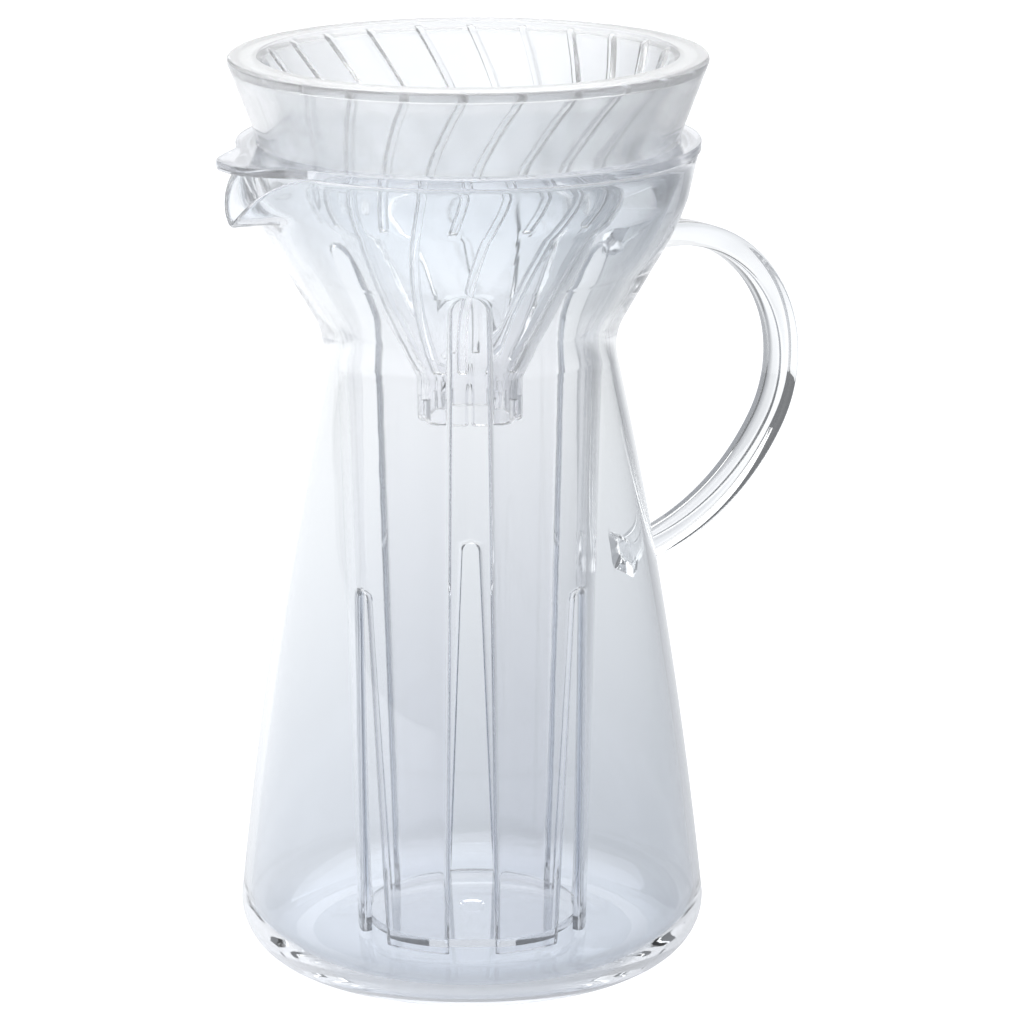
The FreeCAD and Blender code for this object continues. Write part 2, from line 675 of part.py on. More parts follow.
def main():
    doc = FreeCAD.newDocument("iced_coffee_maker")
    d = write_sheet(doc)
    add_places(d)
    nodes = [
        make_carafe_body(doc, d),
        make_carafe_handle(doc, d),
        make_ice_strainer(doc, d),
        make_dripper(doc, d),
    ]
    doc.recompute()
    check(doc, nodes)
    os.makedirs("parts", exist_ok=True)
    for node in nodes:
        node.Shape.exportStep(f"parts/{node.Label}.step")
        box = node.Shape.BoundBox
        print(f"{node.Label}: {node.Shape.Volume / 1000:.1f} cm3, "
              f"x {box.XMin:.1f} {box.XMax:.1f}, y {box.YMin:.1f} {box.YMax:.1f}, "
              f"z {box.ZMin:.1f} {box.ZMax:.1f}")


main()
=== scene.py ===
"""Looks of an iced coffee maker: blown glass, a fused glass strap and two moulded clear pieces.

The file is laid out as a Blender add-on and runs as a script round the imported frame.
Lengths are metres. +Z is up, the handle points to +X and the spout to -X.
"""

import math

import bmesh
import bpy
from bpy.props import FloatProperty, IntProperty, PointerProperty, StringProperty
from mathutils import Matrix, Vector


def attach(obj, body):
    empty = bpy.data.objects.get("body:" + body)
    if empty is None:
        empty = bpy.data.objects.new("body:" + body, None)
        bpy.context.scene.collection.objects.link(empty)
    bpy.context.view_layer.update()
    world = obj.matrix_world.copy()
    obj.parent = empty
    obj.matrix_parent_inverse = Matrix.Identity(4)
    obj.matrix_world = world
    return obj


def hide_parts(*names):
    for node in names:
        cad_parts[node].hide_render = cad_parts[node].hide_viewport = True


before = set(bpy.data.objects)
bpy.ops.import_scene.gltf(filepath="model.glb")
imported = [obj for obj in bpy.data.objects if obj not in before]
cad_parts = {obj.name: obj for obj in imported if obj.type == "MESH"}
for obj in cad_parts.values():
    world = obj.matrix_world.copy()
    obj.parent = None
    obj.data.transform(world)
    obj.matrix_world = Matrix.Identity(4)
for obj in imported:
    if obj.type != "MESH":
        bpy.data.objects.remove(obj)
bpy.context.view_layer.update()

bl_info = {
    "name": "Iced coffee maker",
    "version": (1, 0, 0),
    "blender": (4, 5, 0),
    "location": "View3D > Sidebar > Coffee maker",
    "description": "Builds the glass carafe, the ice strainer, the dripper and their stage",
    "category": "Object",
}


# ------------------------------------------------------------------ settings

def length(label, millimetres, note):
    """A length, given in millimetres and held in metres."""
    return FloatProperty(name=label, description=note, default=millimetres / 1000,
                         unit="LENGTH", precision=4)


def turn(label, degrees, note):
    """An angle, given in degrees."""
    return FloatProperty(name=label, description=note, default=math.radians(degrees),
                         subtype="ANGLE", unit="ROTATION")


def colour(label, code, note):
    """A colour as an sRGB hex value."""
    return StringProperty(name=label, description=note, default=code)


def amount(label, value, note):
    """A bare share, strength or power."""
    return FloatProperty(name=label, description=note, default=value)


def count(label, value, note):
    """A whole number from 1."""
    return IntProperty(name=label, description=note, default=value, min=1)


class GlassSizes(bpy.types.PropertyGroup):
    """Sizes of the blown carafe."""
    foot_radius: length("Foot radius", 58, "Widest radius, just above the foot")
    foot_corner: length("Foot corner", 13, "Outer rounding between foot and side")
    side_bow: length("Side bow", 1350, "Radius of the gently bowed side")
    waist_radius: length("Waist radius", 36.3, "Outer radius where the side ends")
    waist_z: length("Waist height", 151, "Height where the side ends")
    waist_bend: length("Waist bend", 16, "Outer radius of the bend at the waist")
    funnel_radius: length("Funnel radius", 37.9, "Outer radius where the funnel starts")
    funnel_z: length("Funnel height", 162, "Height where the funnel starts")
    shoulder_low_radius: length("Shoulder start", 45.6, "Outer radius where the funnel ends")
    shoulder_low_z: length("Shoulder start height", 175.5, "Height where the funnel ends")
    shoulder_bend: length("Shoulder bend", 75, "Outer radius of the turn above the funnel")
    shoulder_high_radius: length("Shoulder end", 53.3, "Outer radius above that turn")
    shoulder_high_z: length("Shoulder end height", 191.5, "Height above that turn")
    rim_radius: length("Rim radius", 55.5, "Outer radius of the rim")
    rim_z: length("Rim height", 202.7, "Top of the glass")
    rim_round: length("Rim rounding", 0.9, "Fire-polished edge")
    wall: length("Wall", 2.3, "Glass wall, measured level")
    floor: length("Floor", 4.2, "Glass floor")
    punt: length("Punt", 1.1, "How far the underside rises in the middle")
    spout_half: turn("Spout half width", 19.5, "Angle from the spout's middle to its side")
    spout_turn: turn("Spout turn", 76, "How far the rim is folded out at the spout's middle")
    spout_hinge_z: length("Spout fold height", 187.6, "Where the wall starts to fold out")
    spout_fold: length("Spout fold", 5.4, "Length of wall that the fold takes")
    spout_pinch: amount("Spout pinch", 1.6, "How much the fold is drawn together at the tip")
    spout_tip_round: amount("Spout tip rounding", 0.1, "Share of the width over which the tip is round")
    spout_thinning: amount("Spout thinning", 0.2, "How much thinner the pulled glass is")


class StrapSizes(bpy.types.PropertyGroup):
    """Sizes of the glass strap handle."""
    width: length("Width", 8.8, "Strap, across")
    thickness: length("Thickness", 6, "Strap, radially")
    rounding: length("Rounding", 1.6, "Rounding of the strap's edges")
    loop_radius: length("Loop radius", 34.4, "Upper arc of the strap's middle line")
    loop_x: length("Loop middle", 57.3, "Middle of the upper arc from the axis")
    loop_top_z: length("Loop height", 176.1, "Middle line of the strap's top")
    loop_turn: turn("Loop end", 30, "Angle below level where the upper arc ends")
    tail_radius: length("Tail radius", 61.5, "Lower arc of the strap's middle line")
    tail_turn: turn("Tail end", 78, "Angle below level where the lower arc ends")
    root_flare: amount("Root flare", 0.55, "How much the fused ends spread")
    root_reach: length("Root reach", 4.5, "How far from the glass the spreading starts")


class StrainerSizes(bpy.types.PropertyGroup):
    """Sizes of the slotted ice strainer."""
    gap: length("Gap", 1.7, "Level gap between glass and strainer")
    wall: length("Wall", 2.5, "Strainer wall, measured level")
    foot_radius: length("Foot radius", 28.8, "Outer radius of the tube's foot")
    foot_z: length("Foot height", 5.5, "Height of the tube's foot")
    floor_low_z: length("Floor underside", 7.4, "Underside of the floor disc")
    floor_top_z: length("Floor top", 9.7, "Top of the floor disc")
    gate_radius: length("Gate mark", 2.7, "Radius of the moulding gate's mark in the floor")
    gate_depth: length("Gate depth", 0.5, "Depth of that mark")
    collar_radius: length("Collar radius", 52.5, "Collar under the flange")
    collar_foot_radius: length("Collar foot radius", 51.58, "Lower end of the collar")
    collar_foot_z: length("Collar foot height", 197.5, "Height of the collar's lower end")
    flange_z: length("Flange underside", 203.0, "Underside of the flange")
    flange_top: length("Flange top", 205.3, "Top of the flange")
    flange_radius: length("Flange radius", 56.3, "Outer radius of the flange")
    seat_radius: length("Seat radius", 51.2, "Upright wall of the ledge")
    ledge_z: length("Ledge height", 204.0, "Ledge that the dripper stands on")
    ledge_width: length("Ledge width", 2.6, "Width of that ledge")
    tab_reach: length("Tab reach", 10, "How far the tab stands out over the spout")
    tab_half: turn("Tab half width", 21.5, "Angle from the tab's middle to its root")
    tab_side: turn("Tab side", 19.5, "Angle over which the tab's side slopes")
    slot_foot_half: length("Slot foot", 6, "Half width of every slot at the foot")
    slot_foot_z: length("Slot foot height", 0.5, "Height at which the slots are that wide")
    long_half: length("Long slot", 4.1, "Half width of the long slots at the top")
    long_top_z: length("Long slot top", 175.0, "Top of the long slots")
    short_half: length("Short slot", 2.2, "Half width of the short slots at the top")
    short_top_z: length("Short slot top", 95.7, "Top of the short slots")
    edge: length("Edge", 0.35, "Moulded rounding of the edges")
    slot_edge: length("Slot edge", 1.2, "Rounding of the slots' edges")


class DripperSizes(bpy.types.PropertyGroup):
    """Sizes of the ribbed dripper."""
    top_z: length("Top", 226.0, "Top of the rim")
    radius: length("Radius", 58, "Outer radius of the rim")
    rim_face_z: length("Rim face", 224.4, "Lower end of the rim's upright face")
    rim_edge: length("Rim edge", 1.0, "Rounding of the rim's outer edge")
    mouth_radius: length("Mouth", 51, "Where the cone starts")
    under_z: length("Plate underside", 223.4, "Underside of the plate between skirt and cone")
    skirt_foot_z: length("Skirt foot", 204.3, "Height of the skirt's foot")
    skirt_foot_radius: length("Skirt foot radius", 50.45, "Outer radius of the skirt's foot")
    skirt_wall: length("Skirt wall", 2.3, "Skirt, measured level")
    cone_wall: length("Cone wall", 2.5, "Cone, measured level")
    outlet_radius: length("Outlet", 10.4, "Inner radius of the outlet")
    crown_wall: length("Crown wall", 2.6, "Crown round the outlet")
    crown_top_z: length("Crown top", 147.4, "Where the cone ends")
    crown_low_z: length("Crown foot", 136.4, "Lower end of the crown")
    crown_scallop: length("Crown scallop", 0.8, "Rounding of the crown's teeth")
    notch_half: length("Notch", 0.8, "Half width of the slots in the crown")
    notch_top_z: length("Notch top", 141.9, "Top of those slots")
    ribs: count("Ribs", 24, "Ribs inside the cone; every second one is short")
    rib_height: length("Rib height", 1.6, "Rib, out of the cone's wall")
    rib_half: length("Rib half width", 0.95, "Rib, across its foot")
    rib_crest_half: length("Rib crest", 0.65, "Rib, across its crest")
    rib_start_z: length("Rib start", 225.2, "Upper end of the ribs")
    rib_long_z: length("Long rib end", 150.4, "Lower end of the long ribs")
    rib_short_z: length("Short rib end", 190.0, "Lower end of the short ribs")
    rib_fade: length("Rib fade", 1.1, "Length over which a rib's end rises")
    rib_twist: turn("Rib twist", 38, "Turn of a rib over the cone's height")
    rib_ease: amount("Rib ease", 0.25, "How much faster a rib turns near the rim")
    edge: length("Edge", 0.35, "Moulded rounding of the edges")


class Finishes(bpy.types.PropertyGroup):
    """Colours of the materials, and the light."""
    glass: colour("Glass", "#FCFDFD", "Tint of the thin glass of the side")
    # painted shade: this tint darkens the glass towards the foot, where the wall is no thicker than
    # above
    glass_low: colour("Lower glass", "#ECEFF3", "Tint of the heavier glass near the foot")
    glass_fade: length("Glass fade", 140, "Height over which the tint changes")
    glass_high: colour("Glass, top", "#F5F7F9", "Tint of the opened-out mouth")
    glass_high_z: length("Glass tint start", 160, "Height above which the glass takes that tint")
    # the foot's band: partly the thick glass's own tint, partly painted shade
    foot_tint: colour("Foot tint", "#E2E6EC", "Tint of the thick glass where it stands")
    foot_tint_z: length("Foot tint end", 1, "Height where that tint starts to fade")
    foot_tint_step: length("Foot tint fade", 9, "Height over which it fades")
    ripple_low: length("Ripple start", 152, "Height where the drawn-in glass starts to ripple")
    ripple_high: length("Ripple end", 200, "Height where its ripples have faded out")
    ripple_depth: length("Ripple depth", 0.8, "Height of the ripples in the drawn-in glass")
    plastic: colour("Clear plastic", "#FDFDFE", "Tint of the moulded pieces")
    plastic_high: colour("Clear plastic, top", "#FAFBFC", "Tint of their broad upper parts")
    plastic_high_z: length("Plastic tint start", 150, "Height above which they take that tint")
    tint_step: length("Tint step", 30, "Height over which an upper part's tint sets in")
    # painted shade: the strainer is tinted darker from the flange up, for the grey edge that the flange
    # shows
    flange_tint: colour("Flange tint", "#ECEEF2", "Tint of the strainer's flange, seen edge on")
    flange_z: length("Flange tint start", 202, "Height above which the strainer takes it")
    flange_step: length("Flange tint step", 1, "Height over which it does")
    # painted shade: a darker tint on the slots' rounded edges, for the dark lines along them
    slot_tint: colour("Slot tint", "#C8CDD6", "Tint of the slots' rounded edges")
    floor: colour("Floor", "#9C9EA2", "Matt paper under the piece")
    sky: colour("Room", "#D2D4D8", "Light of the room around the piece")
    sky_strength: amount("Room light", 0.3, "Strength of the room's light")
    # painted light: a pool of glow painted into the paper under the carafe
    foot_glow: amount("Foot glow", 0.26, "Light added in the paper right under the carafe")
    foot_glow_radius: length("Foot glow radius", 64, "Where that added light has faded out")
    foot_glow_offset: length("Foot glow offset", 20, "How far it lies behind the axis")
    # painted light: the paper itself glows, more towards one side; nothing lights it from below
    floor_glow: amount("Floor glow", 0.67, "Light that comes up through the paper, at most")
    floor_white: amount("Floor white", 0.8, "Light added where the paper is seen straight")
    glow_place: turn("Glow direction", 130, "Which way the paper's light grows")
    glow_length: length("Glow length", 600, "Length over which it grows, about the axis")
    back_power: amount("Back power", 9.0, "Soft light behind the piece, watts")
    back_turn: turn("Back light direction", 60, "Where that light stands")
    back_distance: length("Back light distance", 3000, "How far it stands from the axis")
    back_z: length("Back light height", 1000, "Its middle above the floor")
    back_size: length("Back light size", 1900, "Its side")
    top_power: amount("Overhead power", 180.0, "Overhead soft light, watts")
    top_z: length("Overhead height", 2400, "Its height above the floor")
    top_offset: length("Overhead offset", 300, "How far it hangs to +Y")
    top_size: length("Overhead size", 6000, "Its side")


class Studio(bpy.types.PropertyGroup):
    """Where the camera stands, and how far the floor reaches."""
    distance: length("Distance", 1068.38, "Camera from the axis, level")
    height: length("Height", 394.47, "Camera above the floor")
    azimuth: turn("Azimuth", -30, "Camera round the piece")
    pitch: turn("Pitch", 14.8227, "Camera looks down")
    swing: turn("Swing", 0.5509, "Camera looks to the right of the axis")
    roll: turn("Roll", -0.1264, "Camera turned about its own line of sight")
    lens: amount("Lens", 157.353, "Focal length, millimetres, on a sensor 36 mm wide")
    floor_half: length("Floor half width", 3600, "From the axis to the floor's edge")


# ------------------------------------------------------------------ sections

SAME = 1e-6  # lengths nearer than this, in metres, are taken as one
MERGE = 2e-6  # vertices nearer than this become one
CUT_SHARE = 0.45  # most of an edge that the rounding of one corner takes


def arc(start, end, radius, side, steps):
    """Points after start, up to end, on the short arc whose centre is on that side of the way."""
    run = Vector(end) - Vector(start)
    half = run.length / 2
    across = Vector((-run.y, run.x)).normalized() * (1 if side == "left" else -1)
    middle = (Vector(start) + Vector(end)) / 2
    middle += across * math.sqrt(max(radius * radius - half * half, 0))
    first = Vector(start) - middle
    whole = first.angle_signed(Vector(end) - middle)
    return [tuple(middle + Matrix.Rotation(-whole * step / steps, 2) @ first)
            for step in range(1, steps + 1)]


def trace(*corners):
    """Half section through (radius, height) corners; a corner may add steps, bend and side."""
    points = [corners[0][:2]]
    for here, there in zip(corners, corners[1:]):
        steps = here[2] if len(here) > 2 else 1
        if len(here) > 3:
            points += arc(here[:2], there[:2], here[3], here[4], steps)
        else:
            points += [tuple(Vector(here[:2]).lerp(Vector(there[:2]), step / steps))
                       for step in range(1, steps + 1)]
    return points


def soften(points, radius, closed=True, sharp=40, steps=3):
    """Round each sharp corner of a section, as a mould or a flame leaves it."""
    result = []
    for index, point in enumerate(points):
        here = Vector(point)
        before = Vector(points[index - 1]) - here
        after = Vector(points[(index + 1) % len(points)]) - here
        inner = closed or 0 < index < len(points) - 1
        bend = math.pi - before.angle(after, math.pi) if inner else 0
        if bend < math.radians(sharp):
            result.append(point)
            continue
        cut = min(radius * math.tan(bend / 2), before.length * CUT_SHARE,
                  after.length * CUT_SHARE)
        start, end = here + before.normalized() * cut, here + after.normalized() * cut
        for step in range(steps + 1):
            share = step / steps
            result.append(tuple(start * (1 - share) ** 2 + here * 2 * share * (1 - share)
                                + end * share ** 2))
    return result


def radius_at(points, height):
    """Radius of a rising section at a height."""
    for low, high in zip(points, points[1:]):
        if low[1] <= height <= high[1] and high[1] > low[1]:
            share = (height - low[1]) / (high[1] - low[1])
            return low[0] + (high[0] - low[0]) * share
    return points[0][0] if height < points[0][1] else points[-1][0]


def between(start, end, steps):
    """Values after start, up to end, in even steps."""
    return [start + (end - start) * step / steps for step in range(1, steps + 1)]


def smooth(share):
    """A soft step from 0 to 1."""
    share = min(max(share, 0.0), 1.0)
    return share * share * (3 - 2 * share)


def polar(radius, angle, height):
    """Place at an angle round the axis, from +X towards +Y."""
    return Vector((radius * math.cos(angle), radius * math.sin(angle), height))


# -------------------------------------------------------------------- meshes

def flat_grid(columns, rows, layer=None):
    """A flat grid, with its vertices by column and row; a layer for a number on each is optional."""
    mesh = bmesh.new()
    if layer:
        mesh.verts.layers.float.new(layer)
    bmesh.ops.create_grid(mesh, x_segments=columns, y_segments=rows, size=0.5)
    at = {}
    for vertex in mesh.verts:
        place = (round((vertex.co.x + 0.5) * columns), round((vertex.co.y + 0.5) * rows))
        at[place] = vertex
    return mesh, at


def grid_faces(mesh, columns, rows):
    """Cells of a grid that still lies flat, by column and row."""
    cells = {}
    for face in mesh.faces:
        middle = face.calc_center_median()
        cells[int((middle.x + 0.5) * columns), int((middle.y + 0.5) * rows)] = face
    return cells


def edge_chain(at, places):
    """Edges between neighbours in a list of grid places."""
    chain = []
    for here, there in zip(places, places[1:]):
        first, second = at[here], at[there]
        edge = next((e for e in first.link_edges if e.other_vert(first) is second), None)
        if edge is None:
            raise RuntimeError(f"no edge from {here} to {there}")
        chain.append(edge)
    return chain


def bridge(mesh, at, one, other):
    """Wall between two chains of grid places."""
    bmesh.ops.bridge_loops(mesh, edges=edge_chain(at, one) + edge_chain(at, other))


def close_up(mesh):
    """Merge seams and poles, drop what has no face and turn the faces outwards."""
    bmesh.ops.remove_doubles(mesh, verts=mesh.verts, dist=MERGE)
    loose = [edge for edge in mesh.edges if not edge.link_faces]
    bmesh.ops.delete(mesh, geom=loose, context="EDGES")
    alone = [vertex for vertex in mesh.verts if not vertex.link_edges]
    bmesh.ops.delete(mesh, geom=alone, context="VERTS")
    bmesh.ops.recalc_face_normals(mesh, faces=mesh.faces)
    open_edges = [edge for edge in mesh.edges if len(edge.link_faces) != 2]
    if open_edges:
        middle = sum((edge.verts[0].co for edge in open_edges), Vector()) / len(open_edges)
        raise RuntimeError(f"{len(open_edges)} edges are open, about {tuple(middle)}")


def to_mesh(mesh, name, sharp_degrees):
    """Write the bmesh to a mesh with smooth faces and sharp moulded edges."""
    data = bpy.data.meshes.new(name)
    mesh.to_mesh(data)
    mesh.free()
    data.shade_smooth()
    data.set_sharp_from_angle(angle=math.radians(sharp_degrees))
    return data


def show(name, data, body, replaced, material):
    """Link a finished piece, and let it ride on its body in place of its CAD nodes."""
    piece = bpy.data.objects.new(name, data)
    bpy.context.scene.collection.objects.link(piece)
    data.materials.clear()
    data.materials.append(material)
    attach(piece, body)
    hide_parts(*replaced)


# -------------------------------------------------------------------- carafe

GLASS_SHARP = 60  # degrees between faces past which the glass has an edge
PUNT_SHOULDER = (0.55, 0.8)  # bend of the rise under the foot, as shares of its radius and height
PUNT_EDGE = 0.9  # share of the radius where the ring that stands on the table starts
FLOOR_RISE = 0.5  # share of that rise which the inside floor takes


def glass_side(s, wall, foot_z):
    """Half section of the glass from its foot up to the rim, a level wall further in."""
    corner = s.foot_corner - wall
    return trace(
        (s.foot_radius - s.foot_corner, foot_z, 10, corner, "left"),
        (s.foot_radius - wall, foot_z + corner, 34, s.side_bow, "left"),
        (s.waist_radius - wall, s.waist_z, 9, s.waist_bend, "right"),
        (s.funnel_radius - wall, s.funnel_z, 5),
        (s.shoulder_low_radius - wall, s.shoulder_low_z, 7, s.shoulder_bend, "left"),
        (s.shoulder_high_radius - wall, s.shoulder_high_z, 8),
        (s.rim_radius - wall, s.rim_z - s.rim_round),
    )


def glass_section(s):
    """The whole half section: underside, outside, rim, inside and floor."""
    outer = glass_side(s, 0, 0)
    inner = glass_side(s, s.wall, s.floor)
    flat = outer[0][0]
    under = trace((0, s.punt, 4), (flat * PUNT_SHOULDER[0], s.punt * PUNT_SHOULDER[1], 4),
                  (flat * PUNT_EDGE, 0, 1), outer[0])
    rim = trace((outer[-1][0], outer[-1][1], 4, s.rim_round, "left"),
                (outer[-1][0] - s.rim_round, s.rim_z, 1),
                (inner[-1][0] + s.rim_round, s.rim_z, 4, s.rim_round, "left"), inner[-1])
    floor = trace((inner[0][0], inner[0][1], 6), (0, s.floor + s.punt * FLOOR_RISE))
    return under[:-1] + outer + rim[1:-1] + inner[::-1] + floor[1:]


def spout_swing(s, angle):
    """How far the rim is folded at this angle from the spout's middle, 0 to 1."""
    share = math.hypot(angle / s.spout_half, s.spout_tip_round) - s.spout_tip_round
    share /= math.hypot(1, s.spout_tip_round) - s.spout_tip_round
    return max(1 - share, 0.0) ** s.spout_pinch


def fold_spout(s, point, swing):
    """Fold a point of the wall's half section outwards about the spout's hinge."""
    outer = glass_side(s, 0, 0)
    hinge = Vector((radius_at(outer, s.spout_hinge_z) - s.wall / 2, s.spout_hinge_z))
    rim = Vector((s.rim_radius - s.wall / 2, s.rim_z))
    along = (rim - hinge).normalized()
    across = Vector((along.y, -along.x))
    run, side = (point - hinge).dot(along), (point - hinge).dot(across)
    if run <= 0 or swing <= 0:
        return point
    lean = math.atan2(along.y, along.x)
    bend = s.spout_turn * swing
    side *= 1 - s.spout_thinning * swing * smooth(run / s.spout_fold)
    rate = bend / s.spout_fold
    folded = min(run, s.spout_fold)
    now = lean - rate * folded
    place = hinge + Vector((math.sin(lean) - math.sin(now), math.cos(now) - math.cos(lean))) / rate
    place += Vector((math.cos(now), math.sin(now))) * (run - folded)
    return place + Vector((math.sin(now), -math.cos(now))) * side


def glass_angles():
    """Column angles round the glass, closer together near the spout at 180 degrees."""
    near, fine, coarse = math.radians(26), 84, 204
    start = math.pi - near
    angles = [start + 2 * near * step / fine for step in range(fine)]
    rest = 2 * math.pi - 2 * near
    return angles + [start + 2 * near + rest * step / coarse for step in range(coarse)]


def glass_mesh(s):
    """The blown body as one closed shell with its spout folded out of the rim."""
    section, angles = glass_section(s), glass_angles()
    mesh, at = flat_grid(len(angles), len(section) - 1)
    for (column, row), vertex in at.items():
        angle = angles[column % len(angles)]
        radius, height = section[row]
        off = math.remainder(angle - math.pi, 2 * math.pi)
        swing = spout_swing(s, off) if height > s.spout_hinge_z - s.spout_fold else 0
        if swing:
            radius, height = fold_spout(s, Vector((radius, height)), swing)
        vertex.co = polar(radius, angle, height)
    close_up(mesh)
    return to_mesh(mesh, "carafe_glass", GLASS_SHARP)


# -------------------------------------------------------------------- handle

ROOT_PLACES = (0.5, 0.42, 0.36, 0.3, 0.24, 0.18, 0.09)  # shares of the loop's radius before its top
LOOP_STEPS, TAIL_STEPS = 44, 30  # rows along the two arcs
ROOT_WIDENING = 0.45  # share of the ends' spread that the strap's width takes
TAIL_FLARE = 1.6  # how much more the lower end spreads than the upper one
MELT_DEPTH, MELT_WAVES, MELT_SHIFT = 0.10, 7.0, 40  # unevenness of the melted ends
SINK_STEPS = 30  # steps that bring an end's points halfway into the glass wall


def strap_stations(t):
    """Middle line of the strap as (point, heading) pairs, from the funnel to the side."""
    centre = Vector((t.loop_x, t.loop_top_z - t.loop_radius))
    down = Vector((math.cos(t.loop_turn), -math.sin(t.loop_turn)))
    tail = centre + (t.loop_radius - t.tail_radius) * down
    stations = [(Vector((t.loop_x - t.loop_radius * share, t.loop_top_z)), 0.0)
                for share in ROOT_PLACES]
    top = math.pi / 2
    for middle, radius, angles in (
            (centre, t.loop_radius, [top] + between(top, -t.loop_turn, LOOP_STEPS)),
            (tail, t.tail_radius, between(-t.loop_turn, -t.tail_turn, TAIL_STEPS))):
        stations += [(middle + radius * Vector((math.cos(angle), math.sin(angle))), angle - top)
                     for angle in angles]
    return stations


def strap_section(t):
    """Cross-section of the strap as (across, out) points."""
    across, out = t.width / 2, t.thickness / 2
    corners = [(-across, 0), (-across, -out), (0, -out), (across, -out), (across, 0), (across, out),
               (0, out), (-across, out)]
    return soften(corners, t.rounding, steps=5)


def strap_mesh(s, t):
    """The strap, its ends spread and sunk halfway into the glass wall."""
    outer = glass_side(s, 0, 0)
    section, stations = strap_section(t), strap_stations(t)
    rows = len(stations) - 1
    mesh, at = flat_grid(len(section), rows)

    def outside(point, wall):
        """How far a point lies outside the glass, measured from that far inside its skin."""
        return math.hypot(point.x, point.y) - (radius_at(outer, point.z) - wall)

    for (column, row), vertex in at.items():
        across, rise = section[column % len(section)]
        centre, heading = stations[row]
        reach = max(outside(Vector((centre.x, 0, centre.y)), 0), 0) / t.root_reach
        melt = 1 + MELT_DEPTH * math.sin(MELT_WAVES * math.atan2(rise, across) + MELT_SHIFT * row)
        flare = t.root_flare * (1 - smooth(reach)) ** 2 * melt * (1.0 if row < rows / 2 else TAIL_FLARE)
        flat = centre + Vector((-math.sin(heading), math.cos(heading))) * rise * (1 + flare)
        point = Vector((flat.x, across * (1 + ROOT_WIDENING * flare), flat.y))
        if row in (0, rows):
            inward = Vector((-math.cos(heading), 0, -math.sin(heading))) * (1 if row == 0 else -1)
            for _ in range(SINK_STEPS):
                point += inward * outside(point, s.wall / 2)
        vertex.co = point
    bmesh.ops.remove_doubles(mesh, verts=mesh.verts, dist=MERGE)
    bmesh.ops.holes_fill(mesh, edges=[e for e in mesh.edges if len(e.link_faces) == 1], sides=0)
    bmesh.ops.recalc_face_normals(mesh, faces=mesh.faces)
    return to_mesh(mesh, "strap", GLASS_SHARP)


def fused(body_data, strap_data):
    """One glass mesh of body and strap, with no skin left between them."""
    body = bpy.data.objects.new("fusing_body", body_data)
    strap = bpy.data.objects.new("fusing_strap", strap_data)
    for item in (body, strap):
        bpy.context.scene.collection.objects.link(item)
    union = body.modifiers.new("fuse", "BOOLEAN")
    union.operation = "UNION"
    union.solver = "EXACT"
    union.object = strap
    bpy.context.view_layer.update()
    graph = bpy.context.evaluated_depsgraph_get()
    data = bpy.data.meshes.new_from_object(body.evaluated_get(graph))
    for item in (body, strap):
        bpy.data.objects.remove(item)
    data.shade_smooth()
    data.set_sharp_from_angle(angle=math.radians(GLASS_SHARP))
    if len(data.polygons) < len(body_data.polygons):
        raise RuntimeError("the carafe's glass didn't fuse")
    return data


class COFFEE_OT_carafe(bpy.types.Operator):
    """Blow the glass, pull its spout and fuse the strap to it"""
    bl_idname = "coffee.carafe"
    bl_label = "Glass carafe"

    def execute(self, context):
        sizes, strap = context.scene.coffee_glass, context.scene.coffee_strap
        show("carafe_glass", fused(glass_mesh(sizes), strap_mesh(sizes, strap)), "carafe",
             ("carafe_body", "carafe_handle"),
             borosilicate_glass(context.scene.coffee_finishes))
        return {"FINISHED"}


# ------------------------------------------------------------------ strainer

STRAINER_SHARP = 35  # degrees between faces past which it has an edge
SLOTS = 6  # long and short ones take turns, a long one at the handle
SLOT_CELLS = 6  # columns of faces across a slot
WALL_CELLS = 28  # and across the wall between two slots
LIP_PLACES = (0.0, 0.03, 0.12, 0.28, 0.5, 0.75, 1.05)  # shares of a slot's rounding, across it
LIP_START = 0.003  # height over which a slot's inner rounding sets in above the floor
SLOT_SHADE_MASK = "slot_edge"  # the attribute that grows from 0 to 1 over a slot's rounding, and masks the painted shade there
TOP_ROWS = 6  # rows over half of a slot's round top
PLACES = 7  # decimal places, in metres, to which two heights count as one row
TAB_DRAW = 0.5  # how much the columns draw together at the tab
GATE_SLOPE = 1.15  # the gate mark's outer radius over its inner one


def strainer_columns():
    """Columns round the strainer as (slot, kind, share), starting in the middle of a wall."""
    ring = []
    for slot in range(SLOTS):
        ring += [(slot, "slot", 2 * cell / SLOT_CELLS - 1) for cell in range(SLOT_CELLS + 1)]
        ring += [(slot, "wall", cell / WALL_CELLS) for cell in range(1, WALL_CELLS)]
    turn_by = SLOT_CELLS + WALL_CELLS // 2
    return ring[turn_by:] + ring[:turn_by]


def slot_top(s, slot):
    """Half width of a slot's round top, and its height."""
    return (s.short_half, s.short_top_z) if slot % 2 else (s.long_half, s.long_top_z)


def slot_half(s, slot, height):
    """Half width of a slot at a height; 0 above its round top."""
    half, top = slot_top(s, slot)
    centre = top - half
    if height <= centre:
        share = (height - s.slot_foot_z) / (centre - s.slot_foot_z)
        return s.slot_foot_half + (half - s.slot_foot_half) * share
    if height > top - SAME:
        return 0.0
    return math.sqrt(max(half * half - (height - centre) ** 2, 0.0))


def above_slots(s, height):
    """0 up to the long slots' top, 1 from the shoulder's upper end."""
    return smooth((height - s.long_top_z) / (s.shoulder_high_z - s.long_top_z))


def wall_share(s, slot, share, height):
    """Above the slots the columns draw together on either side of the tab's middle."""
    draw = TAB_DRAW * above_slots(s, height)
    if slot == SLOTS // 2:
        return share * (1 - draw + draw * share)
    if slot == SLOTS // 2 - 1:
        return 1 - (1 - share) * (1 - draw + draw * (1 - share))
    return share


